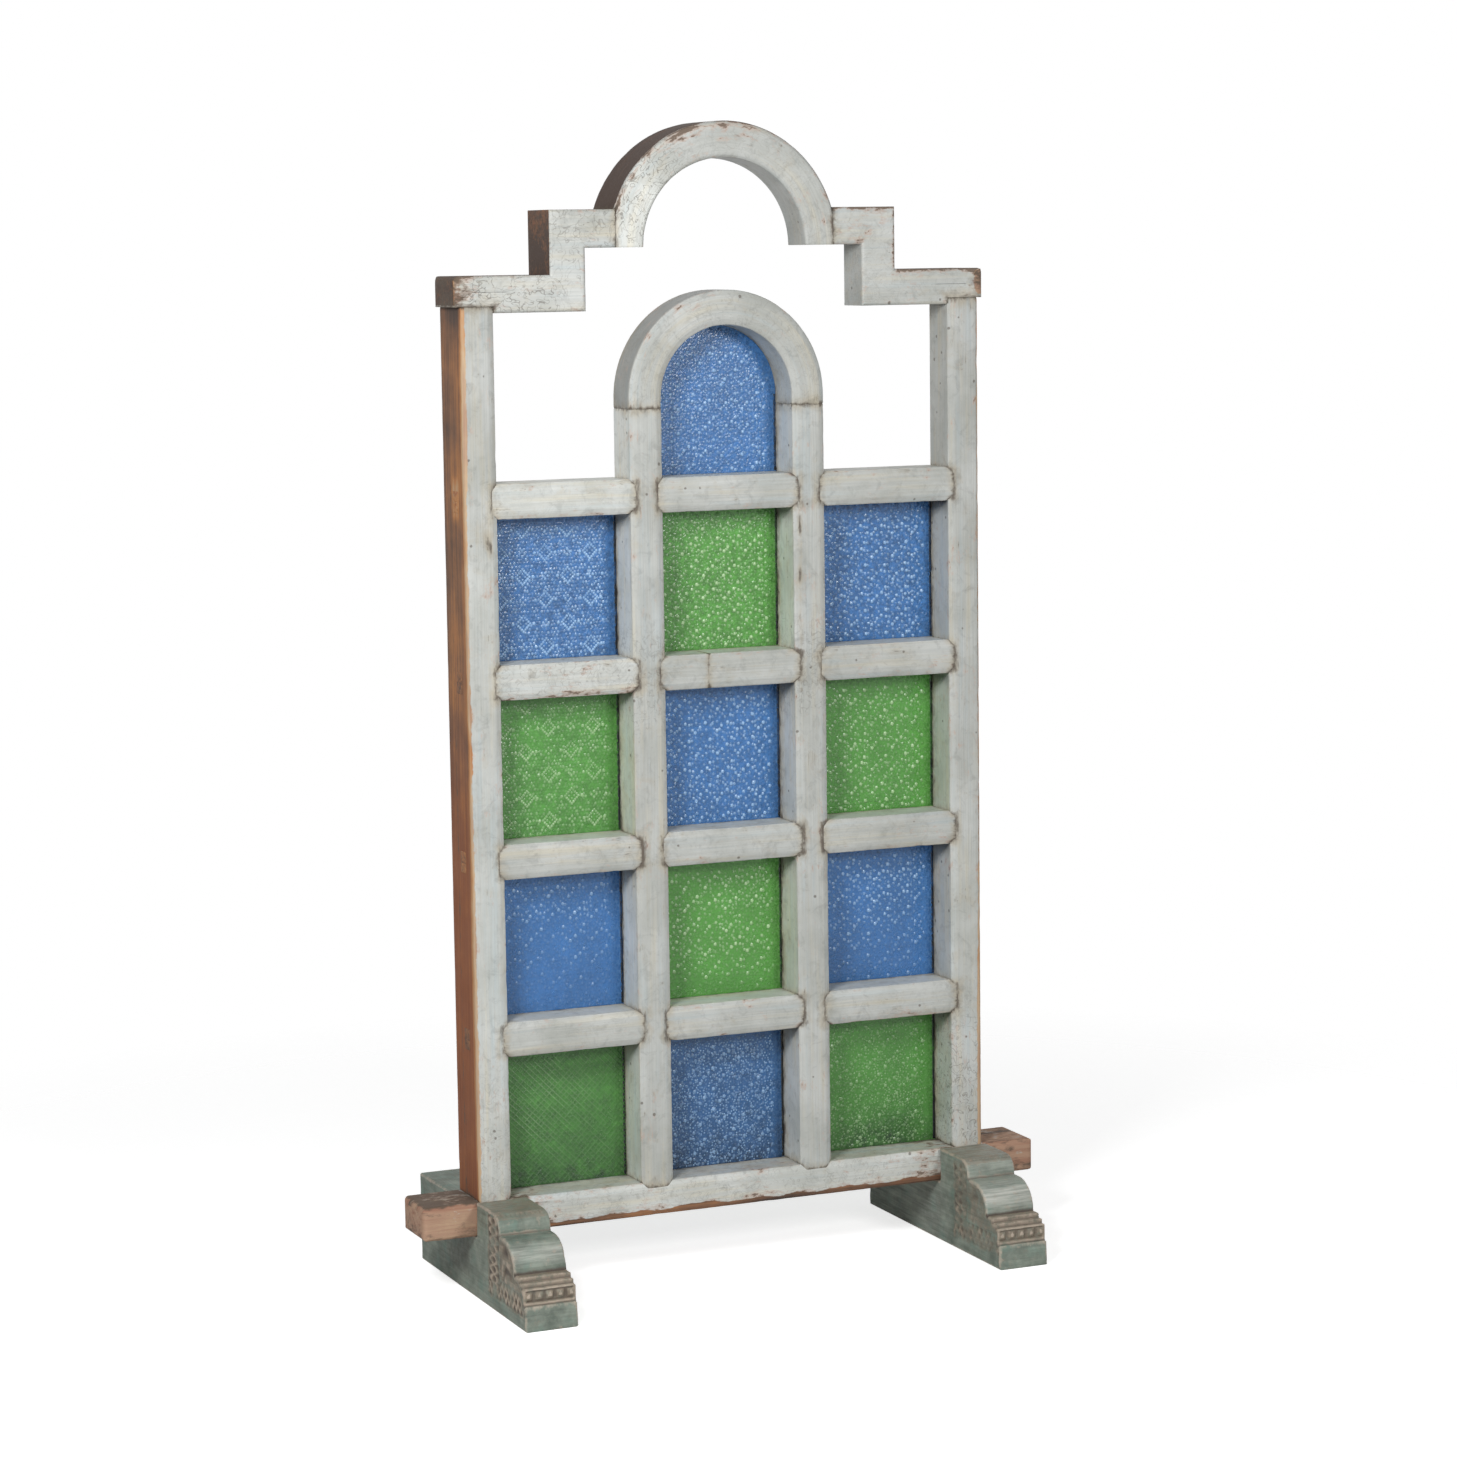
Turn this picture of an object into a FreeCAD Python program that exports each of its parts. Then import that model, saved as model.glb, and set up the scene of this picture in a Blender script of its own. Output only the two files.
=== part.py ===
# Painted wooden window frame with thirteen coloured panes, standing as a screen on two carved feet.
# Millimetres, +Z up. X runs along the frame, the painted face looks along -Y, and the origin lies on
# the floor under the middle of the feet.
import FreeCAD, Part
import os
import re
import Sketcher

SIZES = {
    # Frame
    "frame_width": 900,         # over the two stiles
    "frame_depth": 97,          # painted face to back face
    "stile_face": 55,
    "mullion_face": 56,
    "centre_opening": 228,      # between the two mullions
    "rail_face": 56,
    "pane_height": 230,         # clear height between two rails
    "sill_height": 55,
    "sill_lift": 102,           # floor to the underside of the sill
    "horn_reach": 96,           # sill end past the outer face of a stile
    "horn_round": 9,            # rounding of the sill's end edges
    "lip_depth": 69,            # painted face to the glass
    "rebate_width": 15,
    "bevel_width": 10,          # sloped border along the front of each opening, seen from the front
    "bevel_depth": 4,
    "eased_arris": 4,
    # Head
    "arch_post": 110,           # top rail to the feet of the centre arch
    "arch_leg": 16,             # straight foot of the centre arch, below its round part
    "upper_opening": 266,       # top rail to the underside of the cap
    "cap_height": 58,
    "cap_overhang": 10,         # cap end past the outer face of a stile
    "cap_housing": 10,          # depth that a stile is let into the cap
    "cap_round": 10,
    "step_rise": 99,            # underside of the cap to underside of the bar
    "bar_height": 60,
    "riser_in": 240,            # middle of the frame to the inner side of a riser
    "riser_face": 60,
    "crown_radius": 140,        # inner radius of the crown arch
    "crown_face": 58,
    # Joints
    "tenon_set_back": 30,       # painted face to the tenon
    "tenon_thickness": 24,
    "rail_tenon_height": 34,
    "post_tenon_width": 30,
    "sill_tenon_length": 32,
    "cap_tenon_length": 28,
    "arch_tenon_length": 28,
    "bar_tenon_height": 26,
    "bar_tenon_length": 25,
    "fit_clearance": 0.2,       # round a tenon, and between mitred ends
    "mortise_spare": 1,         # past the end of a tenon
    "wedge_length": 36,
    "wedge_butt": 4,            # thick end of a wedge
    "wedge_tip": 1.5,
    # Glazing
    "glass_thickness": 4,
    "glass_clearance": 3,       # pane edge to the rebate
    "bead_face": 13,
    "bead_depth": 14,
    "bead_splay": 6,
    "curve_clearance": 0.3,     # curved bead to the curved rebate
    # Feet, with the mouldings of the front block from the floor upward
    "foot_width": 88,
    "foot_overhang": 7,         # outer side of a foot past the outer face of a stile
    "foot_front_reach": 219,    # painted face to the front end
    "foot_back_reach": 178,     # back face of the frame to the back end
    "foot_back_height": 147,
    "notch_clearance": 0.5,
    "base_height": 40,
    "base_lean": 3,             # the base block narrows by this much at its top
    "base_set_back": 5,
    "collar_height": 5,
    "band_height": 22,
    "band_set_back": 9,
    "fillet_height": 7,
    "fillet_set_back": 11,
    "ogee_set_back": 19,
    "ogee_height": 47,
    "ogee_run": 50,
    "ogee_radius": 48,
    "neck_run": 17,
    "neck_height": 6,
    "roll_height": 24,
    "roll_run": 30,
    "roll_radius": 27,
}
OVERCUT = "2"   # how far a cut runs past the face that it opens

doc = FreeCAD.newDocument("screen")
sheet = doc.addObject("Spreadsheet::Sheet", "sizes")
for row, (alias, number) in enumerate(SIZES.items(), start=1):
    sheet.set(f"A{row}", alias)
    sheet.set(f"B{row}", str(number))
    sheet.setAlias(f"B{row}", alias)
doc.recompute()
pieces = []

# Places worked out from the sizes, as formulas: x from the middle, y from the painted face, z from the floor
STILE_IN = "(frame_width / 2 - stile_face)"
STILE_MIDDLE = "(frame_width / 2 - stile_face / 2)"
MULLION_MIDDLE = "(centre_opening / 2 + mullion_face / 2)"
SIDE_OPENING = "(frame_width / 2 - stile_face - centre_opening / 2 - mullion_face)"
SIDE_MIDDLE = f"({STILE_IN} - {SIDE_OPENING} / 2)"
PAINTED_FACE = "((foot_front_reach - frame_depth - foot_back_reach) / 2)"
SILL_TOP = "(sill_lift + sill_height)"
PITCH = "(pane_height + rail_face)"
TOP_RAIL_TOP = f"({SILL_TOP} + 4 * {PITCH})"
ARCH_FOOT = f"({TOP_RAIL_TOP} + arch_post)"
ARCH_CENTRE = f"({ARCH_FOOT} + arch_leg)"
CAP_UNDERSIDE = f"({TOP_RAIL_TOP} + upper_opening)"
CROWN_OUTER = "(crown_radius + crown_face)"
CROWN_JOINT = f"sqrt({CROWN_OUTER} ^ 2 - bar_height ^ 2)"
ROWS = ("a", "b", "c", "d")
COLUMNS = (("left", -1), ("centre", 0), ("right", 1))
SIDES = (("left", -1), ("right", 1))


def formula(text):
    """Turn a formula in size names into one that reads the sheet."""
    return re.sub("[a-z_]+", lambda word: f"sizes.{word[0]}" if word[0] in SIZES else word[0], text)


def measure(text):
    """Give the present value of a formula."""
    return float(sheet.evalExpression(formula(text)))


def row_top(row):
    """Give the height of the upper edge of rail row a (top) to d (bottom)."""
    return f"({SILL_TOP} + {4 - ROWS.index(row)} * {PITCH})"


def new_body(node, x, z, y=PAINTED_FACE):
    """Start a piece whose own origin stands at x, y, z."""
    body = doc.addObject("PartDesign::Body", node)
    body.Label = node
    for axis, place in zip("xyz", (x, y, z)):
        body.setExpression(f"Placement.Base.{axis}", formula(place))
    pieces.append(body)
    return body


def new_sketch(body, plane, name, offset="0"):
    """Lay a sketch on one of the body's own planes, moved along the plane's normal by offset."""
    support = next(item for item in body.Origin.OriginFeatures if item.Role == plane)
    sketch = body.newObject("Sketcher::SketchObject", f"{body.Name}_{name}")
    sketch.AttachmentSupport = [(support, "")]
    sketch.MapMode = "FlatFace"
    sketch.setExpression("AttachmentOffset.Base.z", formula(offset))
    return sketch


def bulged_middle(start, end, radius, bulge):
    """Give the middle of the arc from start to end that bulges left (1) or right (-1) of the way."""
    half = (end - start) / 2
    height = radius - (radius ** 2 - half.Length ** 2) ** 0.5
    across = FreeCAD.Vector(-half.y, half.x, 0).normalize()
    return start + half + across * height * bulge


def outline(sketch, corners):
    """Draw a closed loop; a corner is (x, y), or (x, y, radius, bulge) where an arc leaves it."""
    count = len(corners)
    first = sketch.GeometryCount
    points = [FreeCAD.Vector(measure(corner[0]), measure(corner[1]), 0) for corner in corners]
    ends = []
    held = []
    for index, corner in enumerate(corners):
        start = points[index]
        end = points[(index + 1) % count]
        forward = True
        if len(corner) == 4:
            middle = bulged_middle(start, end, measure(corner[2]), corner[3])
            sketch.addGeometry(Part.ArcOfCircle(start, middle, end), False)
            held.append((Sketcher.Constraint("Radius", first + index, measure(corner[2])), corner[2]))
            forward = corner[3] < 0
        else:
            sketch.addGeometry(Part.LineSegment(start, end), False)
        ends.append((1, 2) if forward else (2, 1))
    for index, corner in enumerate(corners):
        here = first + index
        after = (index + 1) % count
        held.append((Sketcher.Constraint("Coincident", here, ends[index][1], first + after, ends[after][0]), None))
        for kind, place in zip(("DistanceX", "DistanceY"), corner):
            held.append((Sketcher.Constraint(kind, -1, 1, here, ends[index][0], measure(place)), place))
    base = sketch.ConstraintCount
    sketch.addConstraint([constraint for constraint, place in held])
    for index, (constraint, place) in enumerate(held):
        if place:
            sketch.setExpression(f"Constraints[{base + index}]", formula(place))


def rectangle(sketch, x_low, x_high, y_low, y_high):
    outline(sketch, [(x_low, y_low), (x_high, y_low), (x_high, y_high), (x_low, y_high)])


def pad(body, sketch, length, side="One side", reverse=False, back="0"):
    feature = body.newObject("PartDesign::Pad", f"{sketch.Name}_pad")
    feature.Profile = sketch
    feature.SideType = side
    feature.Reversed = reverse
    feature.setExpression("Length", formula(length))
    if side == "Two sides":
        feature.setExpression("Length2", formula(back))
    return feature


def pocket(body, sketch, length=None, side="One side", reverse=False):
    """Cut a sketch into a body, to a length or through all of it."""
    feature = body.newObject("PartDesign::Pocket", f"{sketch.Name}_cut")
    feature.Profile = sketch
    feature.SideType = side
    feature.Reversed = reverse
    if length:
        feature.setExpression("Length", formula(length))
    else:
        feature.Type = "ThroughAll"
    return feature


def ease(body, kind, size, wanted, name):
    """Round or chamfer the edges of a body whose middle passes the test."""
    doc.recompute()
    base = body.Tip
    edges = []
    for index, edge in enumerate(base.Shape.Edges, start=1):
        middle = edge.CenterOfMass
        if wanted(edge, middle):
            edges.append(f"Edge{index}")
    feature = body.newObject(f"PartDesign::{kind}", f"{body.Name}_{name}")
    feature.Base = (base, edges)
    feature.setExpression("Radius" if kind == "Fillet" else "Size", formula(size))


def member_section(face):
    """Section of a bar between two openings: bevels on the front, rebates for the glass behind."""
    half = f"({face} / 2)"
    loop = [(f"{half} - bevel_width", "0"), (half, "bevel_depth"), (half, "lip_depth")]
    loop += [(f"{half} - rebate_width", "lip_depth"), (f"{half} - rebate_width", "frame_depth")]
    return loop + [(f"-({across})", depth) for across, depth in reversed(loop)]


def shoulder(edge, reach, over):
    """Loop cut off the end of a bar so that it fits over the bevel of the bar that it meets."""
    return [(edge, "bevel_depth"), (edge, over), (reach, over), (reach, f"-{OVERCUT}"),
            (f"{edge} + bevel_width", f"-{OVERCUT}"), (f"{edge} + bevel_width", "0")]


def tenon_section(width, clearance="0"):
    """Limits of a tenon across its width, and from the painted face."""
    half = f"({width} / 2 + {clearance})"
    return f"-{half}", half, f"tenon_set_back - {clearance}", f"tenon_set_back + tenon_thickness + {clearance}"


def swapped(corners):
    return [(corner[1], corner[0]) for corner in corners]


def make_rail(row, column, side):
    """Short rail, scribed over the bevels of its two posts; its tenon runs right through a stile."""
    opening = SIDE_OPENING if side else "centre_opening"
    middle = f"{side} * {SIDE_MIDDLE}"
    body = new_body(f"rail_{row}_{column}", middle, f"{row_top(row)} - rail_face / 2")
    section = new_sketch(body, "YZ_Plane", "section")
    outline(section, swapped(member_section("rail_face")))
    pad(body, section, f"{opening} + 2 * rebate_width", "Symmetric")
    ends = new_sketch(body, "XY_Plane", "shoulders")
    loop = shoulder(f"({opening} / 2)", f"{opening} / 2 + rebate_width + {OVERCUT}", "lip_depth")
    outline(ends, loop)
    outline(ends, [(f"-({across})", depth) for across, depth in loop])
    pocket(body, ends, side="Symmetric")
    low, high, front, back = tenon_section("rail_tenon_height")
    tenon = new_sketch(body, "YZ_Plane", "tenon")
    rectangle(tenon, front, back, low, high)
    inner_end = f"{opening} / 2 + mullion_face / 2 - fit_clearance"
    outer_end = f"{opening} / 2 + stile_face" if side else inner_end
    right_end = outer_end if side > 0 else inner_end
    left_end = outer_end if side < 0 else inner_end
    pad(body, tenon, right_end, "Two sides", back=left_end)
    if side:
        kerf = new_sketch(body, "XZ_Plane", "kerf")
        outline(kerf, wedge_loop(side, f"{opening} / 2 + stile_face", "0", "fit_clearance"))
        pocket(body, kerf)


def wedge_loop(side, outer_face, height, clearance):
    """Long thin loop of a wedge driven inward from the outer face of a stile."""
    butt = f"(wedge_butt / 2 + {clearance})"
    tip = f"(wedge_tip / 2 + {clearance})"
    outer = f"{side} * ({outer_face})"
    inner = f"{side} * ({outer_face} - wedge_length - {clearance})"
    return [(outer, f"{height} - {butt}"), (outer, f"{height} + {butt}"),
            (inner, f"{height} + {tip}"), (inner, f"{height} - {tip}")]


def cut_rail_mortises(body, base):
    """Cut the four slots for the rails' tenons through a post whose own origin stands at height base."""
    slots = new_sketch(body, "YZ_Plane", "rail_mortises")
    low, high, front, back = tenon_section("rail_tenon_height", "fit_clearance")
    for row in ROWS:
        middle = f"({row_top(row)} - rail_face / 2 - {base})"
        rectangle(slots, front, back, f"{middle} + {low}", f"{middle} + {high}")
    pocket(body, slots, side="Symmetric")


def add_post_tenon(body, name, start, length, down):
    low, high, front, back = tenon_section("post_tenon_width")
    tenon = new_sketch(body, "XY_Plane", name, start)
    rectangle(tenon, low, high, front, back)
    pad(body, tenon, length, reverse=down)


def make_mullion(name, side):
    """Inner post, from the sill to the foot of the arch, with a tenon at each end."""
    height = f"({ARCH_FOOT} - {SILL_TOP})"
    body = new_body(f"{name}_mullion", f"{side} * {MULLION_MIDDLE}", SILL_TOP)
    section = new_sketch(body, "XY_Plane", "section")
    outline(section, member_section("mullion_face"))
    pad(body, section, height, "Two sides", back="rebate_width")
    foot = new_sketch(body, "YZ_Plane", "foot_scribe")
    outline(foot, [(depth, f"-({drop})") for drop, depth in
                   shoulder("0", f"rebate_width + {OVERCUT}", "lip_depth")])
    pocket(body, foot, side="Symmetric")
    add_post_tenon(body, "sill_tenon", "0", "sill_tenon_length", True)
    add_post_tenon(body, "arch_tenon", height, "arch_tenon_length", False)
    cut_rail_mortises(body, SILL_TOP)


def make_stile(name, side):
    """Outer post: one bevel and one rebate toward the glass, a plain outer face with an eased arris."""
    height = f"({CAP_UNDERSIDE} + cap_housing - {SILL_TOP})"
    body = new_body(f"{name}_stile", f"{side} * {STILE_MIDDLE}", SILL_TOP)
    half = "(stile_face / 2)"
    section = new_sketch(body, "XY_Plane", "section")
    loop = [(f"-{half} + bevel_width", "0"), (f"{half} - eased_arris", "0"), (half, "eased_arris"),
            (half, "frame_depth"), (f"-{half} + rebate_width", "frame_depth"),
            (f"-{half} + rebate_width", "lip_depth"), (f"-{half}", "lip_depth"), (f"-{half}", "bevel_depth")]
    outline(section, [(f"{side} * ({across})", depth) for across, depth in loop])
    pad(body, section, height, "Two sides", back="bevel_width")
    foot = new_sketch(body, "YZ_Plane", "foot_scribe")
    outline(foot, [(depth, f"-({drop})") for drop, depth in
                   shoulder("0", f"bevel_width + {OVERCUT}", f"frame_depth + {OVERCUT}")])
    pocket(body, foot, side="Symmetric")
    add_post_tenon(body, "sill_tenon", "0", "sill_tenon_length", True)
    add_post_tenon(body, "cap_tenon", height, "cap_tenon_length", False)
    cut_rail_mortises(body, SILL_TOP)


def make_sill():
    """Bottom timber, bevelled along its top front edge, rebated between the stiles, with rounded horns."""
    body = new_body("sill", "0", "sill_lift")
    section = new_sketch(body, "YZ_Plane", "section")
    outline(section, [("eased_arris", "0"), ("frame_depth", "0"), ("frame_depth", "sill_height"),
                      ("bevel_depth", "sill_height"), ("0", "sill_height - bevel_width"), ("0", "eased_arris")])
    pad(body, section, "frame_width + 2 * horn_reach", "Symmetric")
    rebate = new_sketch(body, "XY_Plane", "rebate", "sill_height")
    rectangle(rebate, f"-({STILE_IN} + rebate_width)", f"{STILE_IN} + rebate_width",
              "lip_depth", f"frame_depth + {OVERCUT}")
    pocket(body, rebate, "rebate_width")
    mortises = new_sketch(body, "XY_Plane", "mortises", "sill_height")
    low, high, front, back = tenon_section("post_tenon_width", "fit_clearance")
    for middle in (STILE_MIDDLE, MULLION_MIDDLE):
        for name, side in SIDES:
            rectangle(mortises, f"{side} * {middle} + {low}", f"{side} * {middle} + {high}", front, back)
    pocket(body, mortises, "sill_tenon_length + mortise_spare")
    for plane, name, depth in (("XY_Plane", "plan", "frame_depth"), ("XZ_Plane", "face", "sill_height")):
        corners = new_sketch(body, plane, f"horn_{name}")
        for side in (-1, 1):
            for edge, inward in (("0", 1), (depth, -1)):
                outline(corners, horn_corner(side, edge, inward))
        pocket(body, corners, side="Symmetric")


def horn_corner(side, edge, inward):
    """Loop outside the rounded corner where the end of a horn meets one of its long edges."""
    end = "(frame_width / 2 + horn_reach)"
    tangent = f"{side} * ({end} - horn_round)"
    outside = f"{side} * ({end} + {OVERCUT})"
    past = f"{edge} - {inward} * {OVERCUT}"
    return [(tangent, past), (tangent, edge, "horn_round", -side * inward),
            (f"{side} * {end}", f"{edge} + {inward} * horn_round"),
            (outside, f"{edge} + {inward} * horn_round"), (outside, past)]


def make_centre_arch():
    """Half-round head on two short legs, with the mullion's own section, standing on the mullions' upper tenons."""
    body = new_body("centre_arch", "0", ARCH_CENTRE)
    section = new_sketch(body, "XY_Plane", "section")
    loop = [(f"({MULLION_MIDDLE} + ({across}))", depth) for across, depth in member_section("mullion_face")]
    outline(section, loop)
    turn_half_round(body, section)
    legs = new_sketch(body, "XY_Plane", "legs")
    for name, side in SIDES:
        outline(legs, [(f"{side} * {across}", depth) for across, depth in loop])
    pad(body, legs, "arch_leg", reverse=True)
    feet = new_sketch(body, "XY_Plane", "mortises", "-arch_leg")
    low, high, front, back = tenon_section("post_tenon_width", "fit_clearance")
    for name, side in SIDES:
        rectangle(feet, f"{side} * {MULLION_MIDDLE} + {low}", f"{side} * {MULLION_MIDDLE} + {high}", front, back)
    pocket(body, feet, "arch_tenon_length + mortise_spare", reverse=True)


def turn_half_round(body, section):
    feature = body.newObject("PartDesign::Revolution", f"{section.Name}_turn")
    feature.Profile = section
    feature.ReferenceAxis = (section, ["V_Axis"])
    feature.Angle = 180
    feature.Reversed = True


def make_crown_arch():
    """Half-round top, cut square at each foot where it meets the bar of a head step."""
    body = new_body("crown_arch", "0", f"{CAP_UNDERSIDE} + step_rise")
    section = new_sketch(body, "XY_Plane", "section")
    outline(section, [("crown_radius + eased_arris", "0"), (f"{CROWN_OUTER} - eased_arris", "0"),
                      (CROWN_OUTER, "eased_arris"), (CROWN_OUTER, "frame_depth"),
                      ("crown_radius + rebate_width", "frame_depth"), ("crown_radius + rebate_width", "lip_depth"),
                      ("crown_radius", "lip_depth"), ("crown_radius", "eased_arris")])
    turn_half_round(body, section)
    feet = new_sketch(body, "XZ_Plane", "feet")
    mortises = new_sketch(body, "XZ_Plane", "mortises", "fit_clearance - tenon_set_back")
    for name, side in SIDES:
        joint = f"{side} * {CROWN_JOINT}"
        rectangle(feet, joint, f"{side} * ({CROWN_OUTER} + {OVERCUT})", f"-{OVERCUT}", "bar_height")
        rectangle(mortises, f"{side} * ({CROWN_JOINT} - bar_tenon_length - mortise_spare)",
                  f"{side} * ({CROWN_OUTER} + {OVERCUT})",
                  "bar_height / 2 - bar_tenon_height / 2 - fit_clearance",
                  "bar_height / 2 + bar_tenon_height / 2 + fit_clearance")
    pocket(body, feet)
    pocket(body, mortises, "tenon_thickness + 2 * fit_clearance")


def make_head_step(name, side):
    """Z-shaped corner of the head, sawn from one board: cap over the stile, riser, bar to the crown arch."""
    body = new_body(f"{name}_head_step", "0", CAP_UNDERSIDE)
    riser_out = "(riser_in + riser_face)"
    cap_end = "(frame_width / 2 + cap_overhang)"
    bar_top = "(step_rise + bar_height)"
    face = new_sketch(body, "XZ_Plane", "face")
    loop = [(STILE_IN, "0"), ("riser_in", "0"), ("riser_in", "step_rise"), (CROWN_JOINT, "step_rise"),
            (CROWN_JOINT, bar_top), (riser_out, bar_top), (riser_out, "cap_height"), (cap_end, "cap_height"),
            (cap_end, "cap_housing"), (STILE_IN, "cap_housing")]
    outline(face, [(f"{side} * {across}", height) for across, height in loop])
    pad(body, face, "frame_depth", reverse=True)
    rebate = new_sketch(body, "XZ_Plane", "rebate", "-lip_depth")
    loop = [(f"({STILE_IN} + rebate_width)", f"-{OVERCUT}"), (f"({STILE_IN} + rebate_width)", "rebate_width"),
            ("(riser_in + rebate_width)", "rebate_width"),
            ("(riser_in + rebate_width)", "step_rise + rebate_width"),
            (f"({CROWN_JOINT} - {OVERCUT})", "step_rise + rebate_width"),
            (f"({CROWN_JOINT} - {OVERCUT})", f"-{OVERCUT}")]
    outline(rebate, [(f"{side} * {across}", height) for across, height in loop])
    pocket(body, rebate)
    mortise = new_sketch(body, "XY_Plane", "mortise", "cap_housing")
    low, high, front, back = tenon_section("post_tenon_width", "fit_clearance")
    rectangle(mortise, f"{side} * {STILE_MIDDLE} + {low}", f"{side} * {STILE_MIDDLE} + {high}", front, back)
    pocket(body, mortise, "cap_tenon_length + mortise_spare", reverse=True)
    ends = (measure(cap_end), measure(CROWN_JOINT))
    ease(body, "Fillet", "cap_round", lambda edge, middle: abs(abs(middle.x) - ends[0]) < 0.01
         and abs(edge.BoundBox.ZLength - measure("cap_height - cap_housing")) < 0.01, "cap_end")
    ease(body, "Chamfer", "eased_arris", lambda edge, middle: abs(middle.y) < 0.01
         and len(edge.Vertexes) == 2 and is_open_arris(middle, ends), "arrises")
    tenon = new_sketch(body, "XZ_Plane", "tenon", "-tenon_set_back")
    rectangle(tenon, f"{side} * ({CROWN_JOINT} - bar_tenon_length)", f"{side} * ({CROWN_JOINT} + {OVERCUT})",
              "step_rise + bar_height / 2 - bar_tenon_height / 2",
              "step_rise + bar_height / 2 + bar_tenon_height / 2")
    pad(body, tenon, "tenon_thickness", reverse=True)


def is_open_arris(middle, ends):
    """Tell whether a front edge of a head step is one that shows, not one against its neighbour."""
    at_joint = abs(abs(middle.x) - ends[1]) < 0.01
    over_stile = abs(middle.x) > measure(STILE_IN) - 0.01 and middle.z < measure("cap_housing") + 0.01
    return not at_joint and not over_stile


def make_pane(node, side, opening, base):
    """Square pane: it stands on the rebate below it and lies against the lip."""
    pane = doc.addObject("Part::Box", node)
    pane.Label = node
    width = f"({opening} + 2 * rebate_width - 2 * glass_clearance)"
    pane.setExpression("Length", formula(width))
    pane.setExpression("Width", formula("glass_thickness"))
    pane.setExpression("Height", formula("pane_height + 2 * rebate_width - 2 * glass_clearance"))
    pane.setExpression("Placement.Base.x", formula(f"{side} * {SIDE_MIDDLE} - {width} / 2"))
    pane.setExpression("Placement.Base.y", formula(f"{PAINTED_FACE} + lip_depth"))
    pane.setExpression("Placement.Base.z", formula(f"{base} - rebate_width"))
    pieces.append(pane)


def make_arch_pane():
    """Round-headed pane over the top rail of the middle column."""
    body = new_body("pane_arch", "0", ARCH_CENTRE, f"{PAINTED_FACE} + lip_depth")
    radius = "(centre_opening / 2 + rebate_width - glass_clearance)"
    low = "-(arch_leg + arch_post + rebate_width)"
    face = new_sketch(body, "XZ_Plane", "face")
    outline(face, [(f"-{radius}", low), (radius, low), (radius, "0", radius, -1), ("0", radius, radius, -1),
                   (f"-{radius}", "0")])
    pad(body, face, "glass_thickness", reverse=True)


def straight_beads(sketch, half_width, low, high):
    """Mitred strips on the two sides and the lower edge of a rebate; low and high are its limits."""
    gap = "fit_clearance"
    inner = f"({half_width} - bead_face)"
    outline(sketch, [(f"-({half_width} - {gap})", low), (f"{half_width} - {gap}", low),
                     (f"{inner} - {gap}", f"{low} + bead_face"), (f"-({inner} - {gap})", f"{low} + bead_face")])
    for name, side in SIDES:
        outline(sketch, [(f"{side} * {half_width}", f"{low} + {gap}"), (f"{side} * {half_width}", f"{high[0]} - {gap}"),
                         (f"{side} * {inner}", f"{high[1]} - {gap}"), (f"{side} * {inner}", f"{low} + bead_face + {gap}")])


def splay_beads(body, inner_half, inner_low, inner_high):
    """Plane the slope along the inner back edge of each straight strip."""
    back = measure("bead_depth")
    limits = (measure(inner_half), measure(inner_low), measure(inner_high))

    def on_inner_edge(edge, middle):
        upright = abs(abs(middle.x) - limits[0]) < 0.05 and edge.BoundBox.XLength < 0.01
        level = min(abs(middle.z - limits[1]), abs(middle.z - limits[2])) < 0.05 and edge.BoundBox.ZLength < 0.01
        return abs(middle.y - back) < 0.01 and (upright or level)
    ease(body, "Chamfer", "bead_splay", on_inner_edge, "splay")


def make_beads(node, side, opening, base):
    """Four mitred strips that hold a square pane from behind."""
    body = new_body(node, f"{side} * {SIDE_MIDDLE}", base, f"{PAINTED_FACE} + lip_depth + glass_thickness")
    half_width = f"({opening} / 2 + rebate_width)"
    top = "(pane_height + rebate_width)"
    strips = new_sketch(body, "XZ_Plane", "strips")
    straight_beads(strips, half_width, "-rebate_width", (top, f"{top} - bead_face"))
    inner = f"({half_width} - bead_face)"
    gap = "fit_clearance"
    outline(strips, [(f"-({half_width} - {gap})", top), (f"{half_width} - {gap}", top),
                     (f"{inner} - {gap}", f"{top} - bead_face"), (f"-({inner} - {gap})", f"{top} - bead_face")])
    pad(body, strips, "bead_depth", reverse=True)
    splay_beads(body, inner, "bead_face - rebate_width", f"{top} - bead_face")


def make_arch_beads():
    """Three straight strips and one bent strip that hold the round-headed pane from behind."""
    body = new_body("beads_arch", "0", ARCH_CENTRE, f"{PAINTED_FACE} + lip_depth + glass_thickness")
    half_width = "(centre_opening / 2 + rebate_width)"
    inner = f"({half_width} - bead_face)"
    outer = f"({half_width} - curve_clearance)"
    strips = new_sketch(body, "XZ_Plane", "strips")
    low = "-(arch_leg + arch_post + rebate_width)"
    straight_beads(strips, half_width, low, ("0", "0"))
    foot = "fit_clearance"
    outline(strips, [(outer, foot, outer, -1), ("0", f"{outer} + {foot}", outer, -1), (f"-{outer}", foot),
                     (f"-{inner}", foot, inner, 1), ("0", f"{inner} + {foot}", inner, 1), (inner, foot)])
    pad(body, strips, "bead_depth", reverse=True)
    splay_beads(body, inner, f"{low} + bead_face", f"{low} + bead_face")


def make_tenon_wedges():
    """One wedge for each through tenon, driven flush with the outer face of its stile."""
    body = new_body("tenon_wedges", "0", "0", f"{PAINTED_FACE} + tenon_set_back")
    loops = new_sketch(body, "XZ_Plane", "wedges")
    for row in ROWS:
        for name, side in SIDES:
            outline(loops, wedge_loop(side, "frame_width / 2", f"({row_top(row)} - rail_face / 2)", "0"))
    pad(body, loops, "tenon_thickness", reverse=True)


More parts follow.
